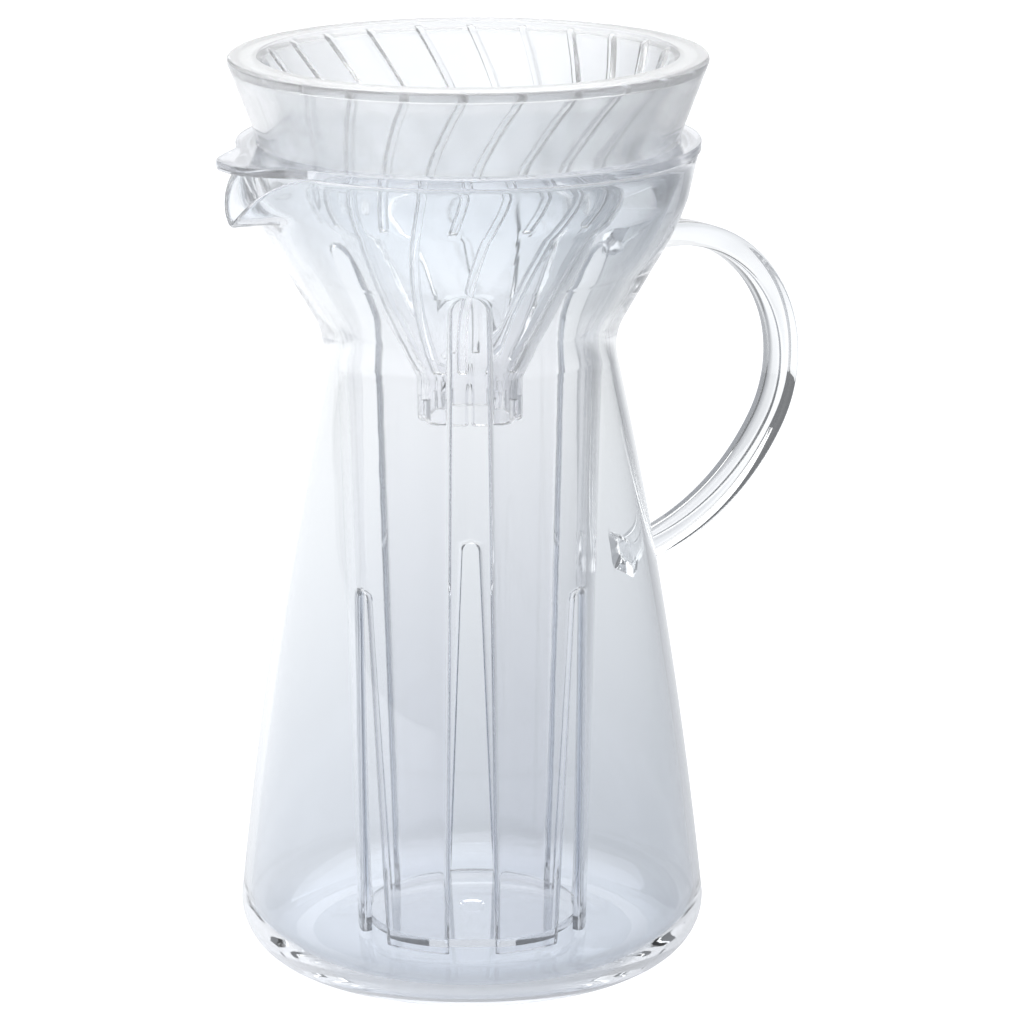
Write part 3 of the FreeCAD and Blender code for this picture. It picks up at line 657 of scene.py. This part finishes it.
def strainer_angle(s, column, radius, height):
    """Angle of a column, which follows the slot's side at this height."""
    slot, kind, share = column
    radius = max(radius, s.foot_radius - s.wall)
    step = 2 * math.pi / SLOTS
    half = slot_half(s, slot, height)
    if kind == "slot":
        return slot * step + math.asin(half * share / radius)
    after = slot_half(s, (slot + 1) % SLOTS, height)
    start = slot * step + math.asin(half / radius)
    end = (slot + 1) * step - math.asin(after / radius)
    even = start + (end - start) * wall_share(s, slot, share, height)
    cell, lips = round(share * WALL_CELLS), len(LIP_PLACES) - 1
    lip = s.slot_edge / radius
    if cell <= lips:
        fitted = start + lip * LIP_PLACES[cell]
    elif cell >= WALL_CELLS - lips:
        fitted = end - lip * LIP_PLACES[WALL_CELLS - cell]
    else:
        lip *= LIP_PLACES[-1]
        fitted = start + lip + (end - start - 2 * lip) * (cell - lips) / (WALL_CELLS - 2 * lips)
    return fitted + (even - fitted) * above_slots(s, height)


def slot_inset(s, slot, radius, angle, height):
    """How far the wall's skin draws in beside a slot, so that the slot's edge is round."""
    half, top = slot_top(s, slot)
    centre = top - half
    angle -= slot * 2 * math.pi / SLOTS
    if math.cos(angle) < 0:
        return 0.0
    across = abs(radius * math.sin(angle))
    if height <= centre:
        off = across - slot_half(s, slot, height)
    else:
        off = math.hypot(across, height - centre) - half
    off = min(max(off / s.slot_edge, 0.0), 1.0)
    return s.slot_edge * (1 - math.sqrt(1 - (1 - off) ** 2))


def wall_heights(s):
    """Heights of the rows that the strainer's inner and outer wall share."""
    heights = [s.foot_z, s.floor_low_z, s.floor_top_z]
    for start, end, steps in (
            (s.floor_top_z, s.short_top_z - s.short_half, 10), (s.short_top_z, s.waist_z, 8),
            (s.waist_z, s.funnel_z, 9), (s.funnel_z, s.long_top_z - s.long_half, 3),
            (s.shoulder_low_z, s.shoulder_high_z, 8)):
        heights += between(start, end, steps)
    for half, top in (slot_top(s, 1), slot_top(s, 0)):
        heights += [top - half + half * math.sin(math.pi / 2 * step / TOP_ROWS)
                    for step in range(TOP_ROWS + 1)]
        heights += [top + s.slot_edge * place for place in LIP_PLACES[1:]]
    return sorted(set(round(height, PLACES) for height in heights))


class StrainerPlan:
    """The strainer's sizes together with the glass heights that it follows."""

    def __init__(self, strainer, glass):
        for source in (glass, strainer):
            for name in source.__annotations__:
                setattr(self, name, getattr(source, name))
        off = glass.wall + strainer.gap
        self.side = trace(
            (strainer.foot_radius, strainer.foot_z),
            (glass.waist_radius - off, glass.waist_z, 12, glass.waist_bend, "right"),
            (glass.funnel_radius - off, glass.funnel_z),
            (glass.shoulder_low_radius - off, glass.shoulder_low_z, 10, glass.shoulder_bend, "left"),
            (glass.shoulder_high_radius - off, glass.shoulder_high_z),
        )


def strainer_section(s):
    """Closed half section, the walls' heights, and the inner wall's row at each of them."""
    heights = wall_heights(s)
    outer = [(radius_at(s.side, height), height) for height in heights]
    inner = [(radius - s.wall, height) for radius, height in outer]
    upper = soften(trace(
        outer[-1], (s.collar_foot_radius, s.collar_foot_z, 2), (s.collar_radius, s.flange_z, 3),
        (s.flange_radius, s.flange_z), (s.flange_radius, s.flange_top, 3),
        (s.seat_radius, s.flange_top), (s.seat_radius, s.ledge_z),
        (s.seat_radius - s.ledge_width, s.ledge_z, 3), inner[-1],
    ), s.edge, closed=False)
    gate_z = s.floor_top_z - s.gate_depth
    floor = trace((inner[2][0], s.floor_top_z, 5), (s.gate_radius * GATE_SLOPE, s.floor_top_z, 2),
                  (s.gate_radius, gate_z, 2), (0, gate_z))
    under = trace((0, s.floor_low_z, 5), (inner[1][0], s.floor_low_z))
    section = outer + upper[1:-1] + inner[:1:-1] + floor[1:] + under + [inner[0]]
    lowest = len(section) - len(floor) - len(under) - 1  # the inner wall's row on the floor
    inner_rows = [len(section) - 1, len(section) - 2]
    inner_rows += [lowest + 2 - level for level in range(2, len(heights))]
    return section, heights, inner_rows


def tab_swell(s, point, angle):
    """Push the flange's outer part out over the spout."""
    radius, height = point
    if radius <= s.collar_radius + SAME or height < s.flange_z - SAME:
        return radius
    off = abs(math.remainder(angle - math.pi, 2 * math.pi))
    reach = s.tab_reach * smooth((s.tab_half - off) / s.tab_side)
    share = (radius - s.collar_radius) / (s.flange_radius - s.collar_radius)
    return radius + reach * share


def strainer_mesh(s):
    """The strainer as one closed shell: its outer and inner wall are joined round each slot."""
    section, heights, inner_rows = strainer_section(s)
    ring = strainer_columns()
    columns, rows = len(ring), len(section)
    mesh, at = flat_grid(columns, rows, SLOT_SHADE_MASK)
    cells = grid_faces(mesh, columns, rows)
    gone, slots = [], []
    for slot in range(SLOTS):
        first = ring.index((slot, "slot", -1.0))
        level = heights.index(round(slot_top(s, slot)[1], PLACES))
        cut = [*range(level), *inner_rows[3:level + 1], rows - 2, rows - 1]
        gone += [cells[column, row] for column in range(first, first + SLOT_CELLS) for row in cut]
        slots.append((first, level))
    bmesh.ops.delete(mesh, geom=gone, context="FACES_ONLY")
    shade_mask_layer = mesh.verts.layers.float[SLOT_SHADE_MASK]
    for (column, row), vertex in at.items():
        radius, height = section[row % rows]
        slot = ring[column % columns][0]
        angle = strainer_angle(s, ring[column % columns], radius, height)
        inset = max(slot_inset(s, near, radius, angle, height) for near in (slot, (slot + 1) % SLOTS))
        # mask of the painted shade on the slots' rounded edges
        if height > s.floor_top_z:
            vertex[shade_mask_layer] = inset / s.slot_edge
        if row % rows < len(heights):
            radius -= inset
        elif row in inner_rows:
            radius += inset * smooth((height - s.floor_top_z) / LIP_START)
        vertex.co = polar(tab_swell(s, (radius, height), angle), angle, height)
    for first, level in slots:
        last = first + SLOT_CELLS
        bridge(mesh, at, [(column, inner_rows[2]) for column in range(first, last + 1)],
               [(column, inner_rows[1]) for column in range(first, last + 1)])
        for column in (first, last):
            bridge(mesh, at, [(column, row) for row in range(2, level + 1)],
                   [(column, row) for row in inner_rows[2:level + 1]])
            bridge(mesh, at, [(column, 0), (column, 1)], [(column, rows - 1), (column, rows - 2)])
    bmesh.ops.remove_doubles(mesh, verts=mesh.verts, dist=MERGE)
    open_edges = [edge for edge in mesh.edges if len(edge.link_faces) == 1]
    bmesh.ops.holes_fill(mesh, edges=open_edges, sides=4)
    close_up(mesh)
    return to_mesh(mesh, "ice_strainer_clear", STRAINER_SHARP)


class COFFEE_OT_strainer(bpy.types.Operator):
    """Mould the slotted ice strainer"""
    bl_idname = "coffee.strainer"
    bl_label = "Ice strainer"

    def execute(self, context):
        plan = StrainerPlan(context.scene.coffee_strainer, context.scene.coffee_glass)
        show("ice_strainer_clear", strainer_mesh(plan), "strainer",
             ("ice_strainer",), clear_plastic(context.scene.coffee_finishes, "strainer"))
        return {"FINISHED"}


# ------------------------------------------------------------------- dripper

DRIPPER_SHARP = 38  # degrees between faces past which it has an edge
RIB_CREST = 0.62  # share of a rib's half width where its crest's edge lies
RIB_SIDES = ((-1.2, 0.0), (-1.0, 0.15), (-0.84, 0.72), (-RIB_CREST, 0.96), (0.0, 1.0),
             (RIB_CREST, 0.96), (0.84, 0.72), (1.0, 0.15), (1.2, 0.0))  # shares across and out
GAP_CELLS = 6  # columns of faces between two ribs
UPPER_ROWS, LOWER_ROWS = 13, 17  # rows of the cone above and below the short ribs' ends
EASE_POWER = 5  # how much of a rib's faster turn lies near the rim
NOTCH_TURN = math.radians(37.5)  # how far the crown is turned against the ribs' upper ends
NOTCH_NEXT = 1.35  # where the column beside a crown's slot lies, in half widths of the slot
PLATE_CLEAR = 0.0015  # the cone's outside starts this far below the plate
CROWN_STEP = 0.0002  # and ends this far above the crown
SHELL_EDGE = 0.0004  # rounding of the skirt's and the plate's corners


def rib_offset(d, index):
    """How far a point of the rib's profile lies across it, and its share of the height."""
    side, rise = RIB_SIDES[index]
    if not side:
        return 0.0, rise
    half = d.rib_half * abs(side)
    if abs(side) < 1:
        flank = max(0.0, (abs(side) - RIB_CREST) / (1 - RIB_CREST))
        half = d.rib_crest_half + (d.rib_half - d.rib_crest_half) * flank
    return math.copysign(half, side), rise


def dripper_rows(d):
    """Closed half section as (radius, height, part), round from the mouth's edge."""
    def cone(height):
        share = (d.top_z - height) / (d.top_z - d.crown_top_z)
        return d.mouth_radius + (d.outlet_radius - d.mouth_radius) * share

    half_fade = d.rib_fade / 2
    marks = [d.top_z - d.edge, d.rib_start_z, d.rib_start_z - half_fade, d.rib_start_z - d.rib_fade]
    marks += between(d.rib_start_z - d.rib_fade, d.rib_short_z + d.rib_fade, UPPER_ROWS)
    marks += [d.rib_short_z + half_fade, d.rib_short_z]
    marks += between(d.rib_short_z, d.rib_long_z + d.rib_fade, LOWER_ROWS)
    marks += [d.rib_long_z + half_fade, d.rib_long_z, d.crown_top_z]
    rows = [(cone(height), height, "cone") for height in marks]

    crown_outer = d.outlet_radius + d.crown_wall
    heights = [(d.crown_top_z + d.notch_top_z) / 2, d.notch_top_z,
               (d.notch_top_z + d.crown_low_z) / 2, d.crown_low_z + d.edge]
    rows += [(d.outlet_radius, height, "crown") for height in heights]
    rows += [(d.outlet_radius + d.edge, d.crown_low_z, "crown"),
             (crown_outer - d.edge, d.crown_low_z, "crown")]
    rows += [(crown_outer, height, "crown") for height in heights[::-1]]

    rows.append((crown_outer, d.crown_top_z + CROWN_STEP, "cone"))
    rows += [(cone(height) + d.cone_wall, height, "cone")
             for height in marks[-2::-1] if height < d.under_z - PLATE_CLEAR]
    slope = (d.radius - d.skirt_foot_radius) / (d.rim_face_z - d.skirt_foot_z)
    skirt_inner = d.skirt_foot_radius - d.skirt_wall
    shell = soften(trace(
        rows[-1][:2], (cone(d.under_z) + d.cone_wall, d.under_z),
        (skirt_inner + slope * (d.under_z - d.skirt_foot_z), d.under_z, 5),
        (skirt_inner, d.skirt_foot_z),
        (d.skirt_foot_radius, d.skirt_foot_z, 7), (d.radius, d.rim_face_z),
        (d.radius, d.top_z - d.rim_edge, 4, d.rim_edge, "left"),
        (d.radius - d.rim_edge, d.top_z, 3), (d.mouth_radius, d.top_z),
        (cone(d.top_z - d.edge), d.top_z - d.edge),
    ), SHELL_EDGE, closed=False)
    return rows + [(radius, height, "shell") for radius, height in shell[1:-1]]


def rib_turn(d, height):
    """Turn of the ribs at a height."""
    down = (d.top_z - height) / (d.top_z - d.crown_top_z)
    down = min(max(down, 0), 1)
    return d.rib_twist * (down + d.rib_ease * (down - down ** EASE_POWER))


def rib_rise(d, rib, height):
    """Share of its full height that a rib has at this height of the cone."""
    end = d.rib_short_z if rib % 2 else d.rib_long_z
    rise = smooth((d.rib_start_z - height) / d.rib_fade) * smooth((height - end) / d.rib_fade)
    return math.sqrt(rise)


def notch_angle(d, radius, local, angle, middle):
    """The columns beside the middle one of a crown's slot close up to its sides."""
    half = math.copysign(math.asin(d.notch_half / radius), local)
    if abs(local) == 1:
        return middle + half
    return middle + half * NOTCH_NEXT if abs(local) == 2 else angle


def dripper_mesh(d):
    """The dripper as one closed shell: ribs stand out of its cone, slots go through its crown."""
    section = dripper_rows(d)
    cells_per = len(RIB_SIDES) - 1 + GAP_CELLS
    columns, rows = d.ribs * cells_per, len(section)
    step = 2 * math.pi / d.ribs
    middle_gap = len(RIB_SIDES) - 1 + GAP_CELLS // 2
    crown = [row for row, point in enumerate(section) if point[2] == "crown"]
    inner_top, outer_top = (row for row in crown if abs(section[row][1] - d.notch_top_z) < SAME)
    mesh, at = flat_grid(columns, rows)
    cells = grid_faces(mesh, columns, rows)
    notches = [rib * cells_per + middle_gap - 1 for rib in range(0, d.ribs, 2)]
    gone = [cells[column, row] for first in notches for column in (first, first + 1)
            for row in range(inner_top, outer_top)]
    bmesh.ops.delete(mesh, geom=gone, context="FACES_ONLY")
    for (column, row), vertex in at.items():
        radius, height, part = section[row % rows]
        rib, cell = divmod(column % columns, cells_per)
        if cell < len(RIB_SIDES):
            side, rise = rib_offset(d, cell)
            angle = side / radius
            if row % rows < crown[0]:
                radius -= d.rib_height * rise * rib_rise(d, rib, height)
        else:
            edge = rib_offset(d, len(RIB_SIDES) - 1)[0] / radius
            angle = edge + (step - 2 * edge) * (cell - len(RIB_SIDES) + 1) / GAP_CELLS
        if part == "crown":
            twist = NOTCH_TURN
            if rib % 2 == 0:
                angle = notch_angle(d, radius, cell - middle_gap, angle, step / 2)
            around = (rib * step + angle - step / 2) / (2 * step)
            off = abs(around - round(around))  # 0 at a notch, 0.5 midway between two
            if height < d.notch_top_z - SAME:
                low = (d.notch_top_z - height) / (d.notch_top_z - d.crown_low_z)
                height += d.crown_scallop * (1 - 2 * off) ** 3 * low
        elif part == "cone":
            twist = rib_turn(d, height)
        else:
            twist = rib_turn(d, d.under_z) if height <= d.under_z + SAME else 0
        vertex.co = polar(radius, rib * step + angle - twist, height)
    low = (crown[0] + crown[-1]) // 2  # the crown's lowest row on the inside
    for first in notches:
        last = first + 2
        inside = ([(first, row) for row in range(low, inner_top - 1, -1)] + [(first + 1, inner_top)]
                  + [(last, row) for row in range(inner_top, low + 1)])
        outside = ([(first, row) for row in range(low + 1, outer_top + 1)] + [(first + 1, outer_top)]
                   + [(last, row) for row in range(outer_top, low, -1)])
        bridge(mesh, at, inside, outside)
    close_up(mesh)
    return to_mesh(mesh, "dripper_clear", DRIPPER_SHARP)


class COFFEE_OT_dripper(bpy.types.Operator):
    """Mould the ribbed dripper"""
    bl_idname = "coffee.dripper"
    bl_label = "Dripper"

    def execute(self, context):
        show("dripper_clear", dripper_mesh(context.scene.coffee_dripper), "dripper",
             ("dripper",), clear_plastic(context.scene.coffee_finishes, "dripper"))
        return {"FINISHED"}


# ----------------------------------------------------------------- materials

# waves to the metre, fineness, strength and depth of each skin's unevenness
BLOWN_SKIN = (26.0, 1.0, 0.25, 0.0006)  # soft waves, one every 38 mm
MOULDED_SKIN = (60.0, 2.0, 0.15, 0.0003)  # flow marks of the resin, one every 17 mm
PAPER_SKIN = (900.0, 3.0, 0.05, 0.0002)  # clumps of fibre, 1.1 mm each
DRAWN_RINGS = (22.0, 22.0, 85.0)  # ripples of the drawn-in mouth: 45 mm long, 12 mm apart in height
RIPPLE_RISE, RIPPLE_FADE = 0.02, 0.015  # heights over which they set in and fade out
SLOT_SHADE_START, SLOT_SHADE_STEP = 0.1, 0.8  # where the painted shade on the slots' edges sets in
CLEAR_SHINE = {"Transmission Weight": 1.0, "Roughness": 0.03}  # of the moulded resin
SKIRT_SHINE = {"Transmission Weight": 0.95, "Roughness": 0.12}  # of the dripper's faintly hazy skirt
RIM_SHINE = {"Transmission Weight": 0.74, "Roughness": 0.22}  # and of its rim
SKIRT_ZONE = (0.190, 0.206)  # heights over which the skirt's shine sets in
RIM_ZONE = (0.2226, 0.2242)  # and the rim's
FOOT_GLOW_EDGE = 0.4  # share of the spot's fall-off at which it is at its full strength


def linear(code):
    """An sRGB hex colour as linear red, green, blue and alpha."""
    parts = [int(code[i:i + 2], 16) / 255 for i in (1, 3, 5)]
    return tuple(c / 12.92 if c <= 0.04045 else ((c + 0.055) / 1.055) ** 2.4 for c in parts) + (1.0,)


def add_node(tree, kind, values=(), links=(), **settings):
    """Add a shader node with its settings, its sockets' values and its links."""
    node = tree.nodes.new("ShaderNode" + kind)
    for name, value in settings.items():
        setattr(node, name, value)
    for socket, value in values:
        node.inputs[socket].default_value = value
    for socket, source in links:
        tree.links.new(source, node.inputs[socket])
    return node


def new_material(name):
    """An empty node material and its tree."""
    material = bpy.data.materials.new(name)
    material.use_nodes = True
    material.node_tree.nodes.clear()
    return material, material.node_tree


def surface(tree, values, links):
    """The shader, joined to the material's output."""
    shader = add_node(tree, "BsdfPrincipled", values=values, links=links)
    add_node(tree, "OutputMaterial", links=[("Surface", shader.outputs["BSDF"])])


def uneven(tree, place, waves, fineness, strength, depth):
    """Normal of a skin that is uneven all over, with that many waves to the metre."""
    noise = add_node(tree, "TexNoise", values=[("Scale", waves), ("Detail", fineness)],
                     links=[("Vector", place)])
    return add_node(tree, "Bump", values=[("Strength", strength), ("Distance", depth)],
                    links=[("Height", noise.outputs["Fac"])]).outputs["Normal"]


def tint_above(tree, measure, low, high, start, step):
    """Tint that turns from the low one into the high one; each is a hex value or a socket."""
    rise = add_node(tree, "MapRange", interpolation_type="SMOOTHSTEP", values=[
        ("From Min", start), ("From Max", start + step)], links=[("Value", measure)])
    values, links = [], [("Fac", rise.outputs["Result"])]
    for socket, tint in (("Color1", low), ("Color2", high)):
        if isinstance(tint, str):
            values.append((socket, linear(tint)))
        else:
            links.append((socket, tint))
    return add_node(tree, "MixRGB", values=values, links=links).outputs["Color"]


def borosilicate_glass(f):
    """Borosilicate glass, blown and fire-polished: dead clear, with a faintly wavy skin."""
    material, tree = new_material("borosilicate_glass_blown")
    place = add_node(tree, "TexCoord").outputs["Object"]
    skin = uneven(tree, place, *BLOWN_SKIN)
    height = add_node(tree, "SeparateXYZ", links=[("Vector", place)]).outputs["Z"]
    rings = add_node(tree, "Mapping", values=[("Scale", DRAWN_RINGS)],
                     links=[("Vector", place)])
    ripple = add_node(tree, "TexNoise", values=[("Scale", 1.0), ("Detail", 0.0)],
                      links=[("Vector", rings.outputs["Vector"])])
    above = add_node(tree, "MapRange", interpolation_type="SMOOTHSTEP", values=[
        ("From Min", f.ripple_low), ("From Max", f.ripple_low + RIPPLE_RISE)],
        links=[("Value", height)])
    below = add_node(tree, "MapRange", interpolation_type="SMOOTHSTEP", values=[
        ("From Min", f.ripple_high), ("From Max", f.ripple_high - RIPPLE_FADE)],
        links=[("Value", height)])
    zone = add_node(tree, "Math", operation="MULTIPLY", links=[
        (0, above.outputs["Result"]), (1, below.outputs["Result"])])
    drawn = add_node(tree, "Math", operation="MULTIPLY", links=[
        (0, ripple.outputs["Fac"]), (1, zone.outputs["Value"])])
    bump = add_node(tree, "Bump", values=[("Strength", 1.0), ("Distance", f.ripple_depth)],
                    links=[("Height", drawn.outputs["Value"]), ("Normal", skin)])
    # painted shade: the glass's tint turns darker towards the foot over the lowest glass_fade of height
    rise = add_node(tree, "MapRange", values=[("From Max", f.glass_fade)],
                    links=[("Value", height)])
    tint = add_node(tree, "MixRGB", values=[
        ("Color1", linear(f.glass_low)), ("Color2", linear(f.glass))],
        links=[("Fac", rise.outputs["Result"])])
    # the foot's band: partly the thick glass's own tint, partly painted shade
    tint = tint_above(tree, height, f.foot_tint, tint.outputs["Color"], f.foot_tint_z, f.foot_tint_step)
    tint = tint_above(tree, height, tint, f.glass_high, f.glass_high_z, f.tint_step)
    surface(tree, [("Roughness", 0.0), ("IOR", 1.473), ("Transmission Weight", 1.0)],
            [("Base Color", tint), ("Normal", bump.outputs["Normal"])])
    return material


def clear_plastic(f, piece):
    """Clear styrene resin, injection-moulded: a little softer in its shine than glass."""
    material, tree = new_material(f"clear_styrene_moulded_{piece}")
    place = add_node(tree, "TexCoord").outputs["Object"]
    skin = uneven(tree, place, *MOULDED_SKIN)
    height = add_node(tree, "SeparateXYZ", links=[("Vector", place)]).outputs["Z"]
    tint = tint_above(tree, height, f.plastic, f.plastic_high, f.plastic_high_z, f.tint_step)
    if piece == "strainer":
        # painted shade: the strainer's flange is tinted darker
        tint = tint_above(tree, height, tint, f.flange_tint, f.flange_z, f.flange_step)
        # painted shade: the slots' rounded edges are tinted darker
        edge = add_node(tree, "Attribute", attribute_name=SLOT_SHADE_MASK).outputs["Fac"]
        tint = tint_above(tree, edge, tint, f.slot_tint, SLOT_SHADE_START, SLOT_SHADE_STEP)
    values = [("IOR", 1.56)]
    links = [("Normal", skin), ("Base Color", tint)]
    if piece == "dripper":
        for socket, clear in CLEAR_SHINE.items():
            body = add_node(tree, "MapRange", values=[
                ("From Min", SKIRT_ZONE[0]), ("From Max", SKIRT_ZONE[1]), ("To Min", clear),
                ("To Max", SKIRT_SHINE[socket])], links=[("Value", height)])
            top = add_node(tree, "MapRange", values=[
                ("From Min", RIM_ZONE[0]), ("From Max", RIM_ZONE[1]), ("To Max", RIM_SHINE[socket])],
                links=[("Value", height), ("To Min", body.outputs["Result"])])
            links.append((socket, top.outputs["Result"]))
    else:
        values += CLEAR_SHINE.items()
    surface(tree, values, links)
    return material


def floor_paper(f):
    """Matt white paper with painted light: evenly white where seen straight, and to other rays a glow
    that grows one way, with a painted pool of light under the carafe.
    """
    material, tree = new_material("matt_paper_lit")
    place = add_node(tree, "TexCoord").outputs["Object"]
    skin = uneven(tree, place, *PAPER_SKIN)
    # painted light: a glow that grows one way over the paper
    start = polar(-f.glow_length / 2, f.glow_place, 0)
    along = add_node(tree, "Mapping", vector_type="TEXTURE", values=[
        ("Location", start), ("Rotation", (0.0, 0.0, f.glow_place)),
        ("Scale", (f.glow_length, 1.0, 1.0))], links=[("Vector", place)])
    slope = add_node(tree, "TexGradient", gradient_type="LINEAR",
                     links=[("Vector", along.outputs["Vector"])])
    glow = add_node(tree, "MapRange", interpolation_type="SMOOTHSTEP", values=[
        ("To Max", f.floor_glow)], links=[("Value", slope.outputs["Fac"])])
    # painted light: a pool of glow on the paper under the carafe
    under = add_node(tree, "Mapping", vector_type="TEXTURE", values=[
        ("Location", polar(f.foot_glow_offset, f.back_turn, 0)),
        ("Scale", (f.foot_glow_radius,) * 3)], links=[("Vector", place)])
    spot = add_node(tree, "TexGradient", gradient_type="SPHERICAL",
                    links=[("Vector", under.outputs["Vector"])])
    foot = add_node(tree, "MapRange", interpolation_type="SMOOTHSTEP", values=[
        ("From Max", FOOT_GLOW_EDGE), ("To Max", f.foot_glow)], links=[("Value", spot.outputs["Fac"])])
    glow = add_node(tree, "Math", operation="ADD", links=[
        (0, glow.outputs["Result"]), (1, foot.outputs["Result"])])
    seen = add_node(tree, "LightPath").outputs["Is Camera Ray"]
    strength = add_node(tree, "Mix", data_type="FLOAT", values=[("B", f.floor_white)],
                        links=[("Factor", seen), ("A", glow.outputs["Value"])])
    surface(tree, [("Base Color", linear(f.floor)), ("Roughness", 0.9), ("Specular IOR Level", 0.1),
                   ("Emission Color", (1.0, 1.0, 1.0, 1.0))],
            [("Normal", skin), ("Emission Strength", strength.outputs["Result"])])
    return material


# --------------------------------------------------------------------- stage

SENSOR_WIDTH = 36.0  # millimetres
NEAREST, FARTHEST = 0.05, 60.0  # what the camera sees, metres from it
LIGHT_BOUNCES = 160  # light crosses many walls of glass, and fewer leave black patches where it ends


def add_lamp(name, power, size, place, aim):
    """A square white softbox that throws no hard shadow and isn't seen itself."""
    lamp = bpy.data.lights.new(name, "AREA")
    lamp.shape, lamp.size, lamp.energy = "SQUARE", size, power
    lamp.use_shadow = False
    holder = bpy.data.objects.new(name, lamp)
    holder.visible_camera = False
    holder.matrix_world = Matrix.Translation(place) @ (
        Vector(aim) - Vector(place)).to_track_quat("-Z", "Y").to_matrix().to_4x4()
    bpy.context.scene.collection.objects.link(holder)


class COFFEE_OT_stage(bpy.types.Operator):
    """Set out the floor, the light and the camera"""
    bl_idname = "coffee.stage"
    bl_label = "Stage"

    def execute(self, context):
        scene = context.scene
        f, studio = scene.coffee_finishes, scene.coffee_studio
        mesh = bmesh.new()
        bmesh.ops.create_grid(mesh, x_segments=1, y_segments=1, size=studio.floor_half)
        data = bpy.data.meshes.new("floor")
        mesh.to_mesh(data)
        mesh.free()
        data.materials.append(floor_paper(f))
        floor = bpy.data.objects.new("floor", data)
        scene.collection.objects.link(floor)

        world = bpy.data.worlds.new("room")
        scene.world = world
        world.use_nodes = True
        world.node_tree.nodes.clear()
        room = add_node(world.node_tree, "Background", values=[
            ("Color", linear(f.sky)), ("Strength", f.sky_strength)])
        add_node(world.node_tree, "OutputWorld",
                 links=[("Surface", room.outputs["Background"])])
        add_lamp("overhead_softbox", f.top_power, f.top_size, (0, f.top_offset, f.top_z),
                 (0, f.top_offset, 0))
        add_lamp("back_softbox", f.back_power, f.back_size,
                 polar(f.back_distance, f.back_turn, f.back_z), (0, 0, f.back_z))

        camera = bpy.data.cameras.new("camera")
        camera.lens, camera.sensor_width = studio.lens, SENSOR_WIDTH
        camera.clip_start, camera.clip_end = NEAREST, FARTHEST
        holder = bpy.data.objects.new("camera", camera)
        place = polar(studio.distance, studio.azimuth - math.pi / 2, studio.height)
        holder.matrix_world = (
            Matrix.Translation(place)
            @ Matrix.Rotation(studio.azimuth - studio.swing, 4, "Z")
            @ Matrix.Rotation(math.pi / 2 - studio.pitch, 4, "X")
            @ Matrix.Rotation(studio.roll, 4, "Z"))
        scene.collection.objects.link(holder)
        scene.camera = holder
        scene.view_settings.view_transform = "Standard"
        for limit in ("max_bounces", "transmission_bounces", "glossy_bounces"):
            setattr(scene.cycles, limit, LIGHT_BOUNCES)
        return {"FINISHED"}


class COFFEE_PT_panel(bpy.types.Panel):
    """Lists the pieces and their sizes"""
    bl_idname = "COFFEE_PT_panel"
    bl_label = "Coffee maker"
    bl_space_type = "VIEW_3D"
    bl_region_type = "UI"
    bl_category = "Coffee maker"

    def draw(self, context):
        for group, _, operators in SECTIONS:
            for operator in operators:
                self.layout.operator(operator)
            settings = getattr(context.scene, group)
            box = self.layout.box()
            for name in settings.__annotations__:
                box.prop(settings, name)


SECTIONS = (  # the name of some settings, their group, and the operators listed with them
    ("coffee_glass", GlassSizes, ("coffee.carafe",)),
    ("coffee_strap", StrapSizes, ()),
    ("coffee_strainer", StrainerSizes, ("coffee.strainer",)),
    ("coffee_dripper", DripperSizes, ("coffee.dripper",)),
    ("coffee_finishes", Finishes, ()),
    ("coffee_studio", Studio, ("coffee.stage",)),
)
CLASSES = (*(group for _, group, _ in SECTIONS), COFFEE_OT_carafe, COFFEE_OT_strainer,
           COFFEE_OT_dripper, COFFEE_OT_stage, COFFEE_PT_panel)


def register():
    """Add the classes, and the settings to every scene."""
    for item in CLASSES:
        bpy.utils.register_class(item)
    for name, group, _ in SECTIONS:
        setattr(bpy.types.Scene, name, PointerProperty(type=group))


def unregister():
    """Take them away again."""
    for name, _, _ in SECTIONS:
        delattr(bpy.types.Scene, name)
    for item in reversed(CLASSES):
        bpy.utils.unregister_class(item)


def main():
    """Build everything in order."""
    register()
    bpy.ops.coffee.carafe()
    bpy.ops.coffee.strainer()
    bpy.ops.coffee.dripper()
    bpy.ops.coffee.stage()


if __name__ == "__main__":
    main()
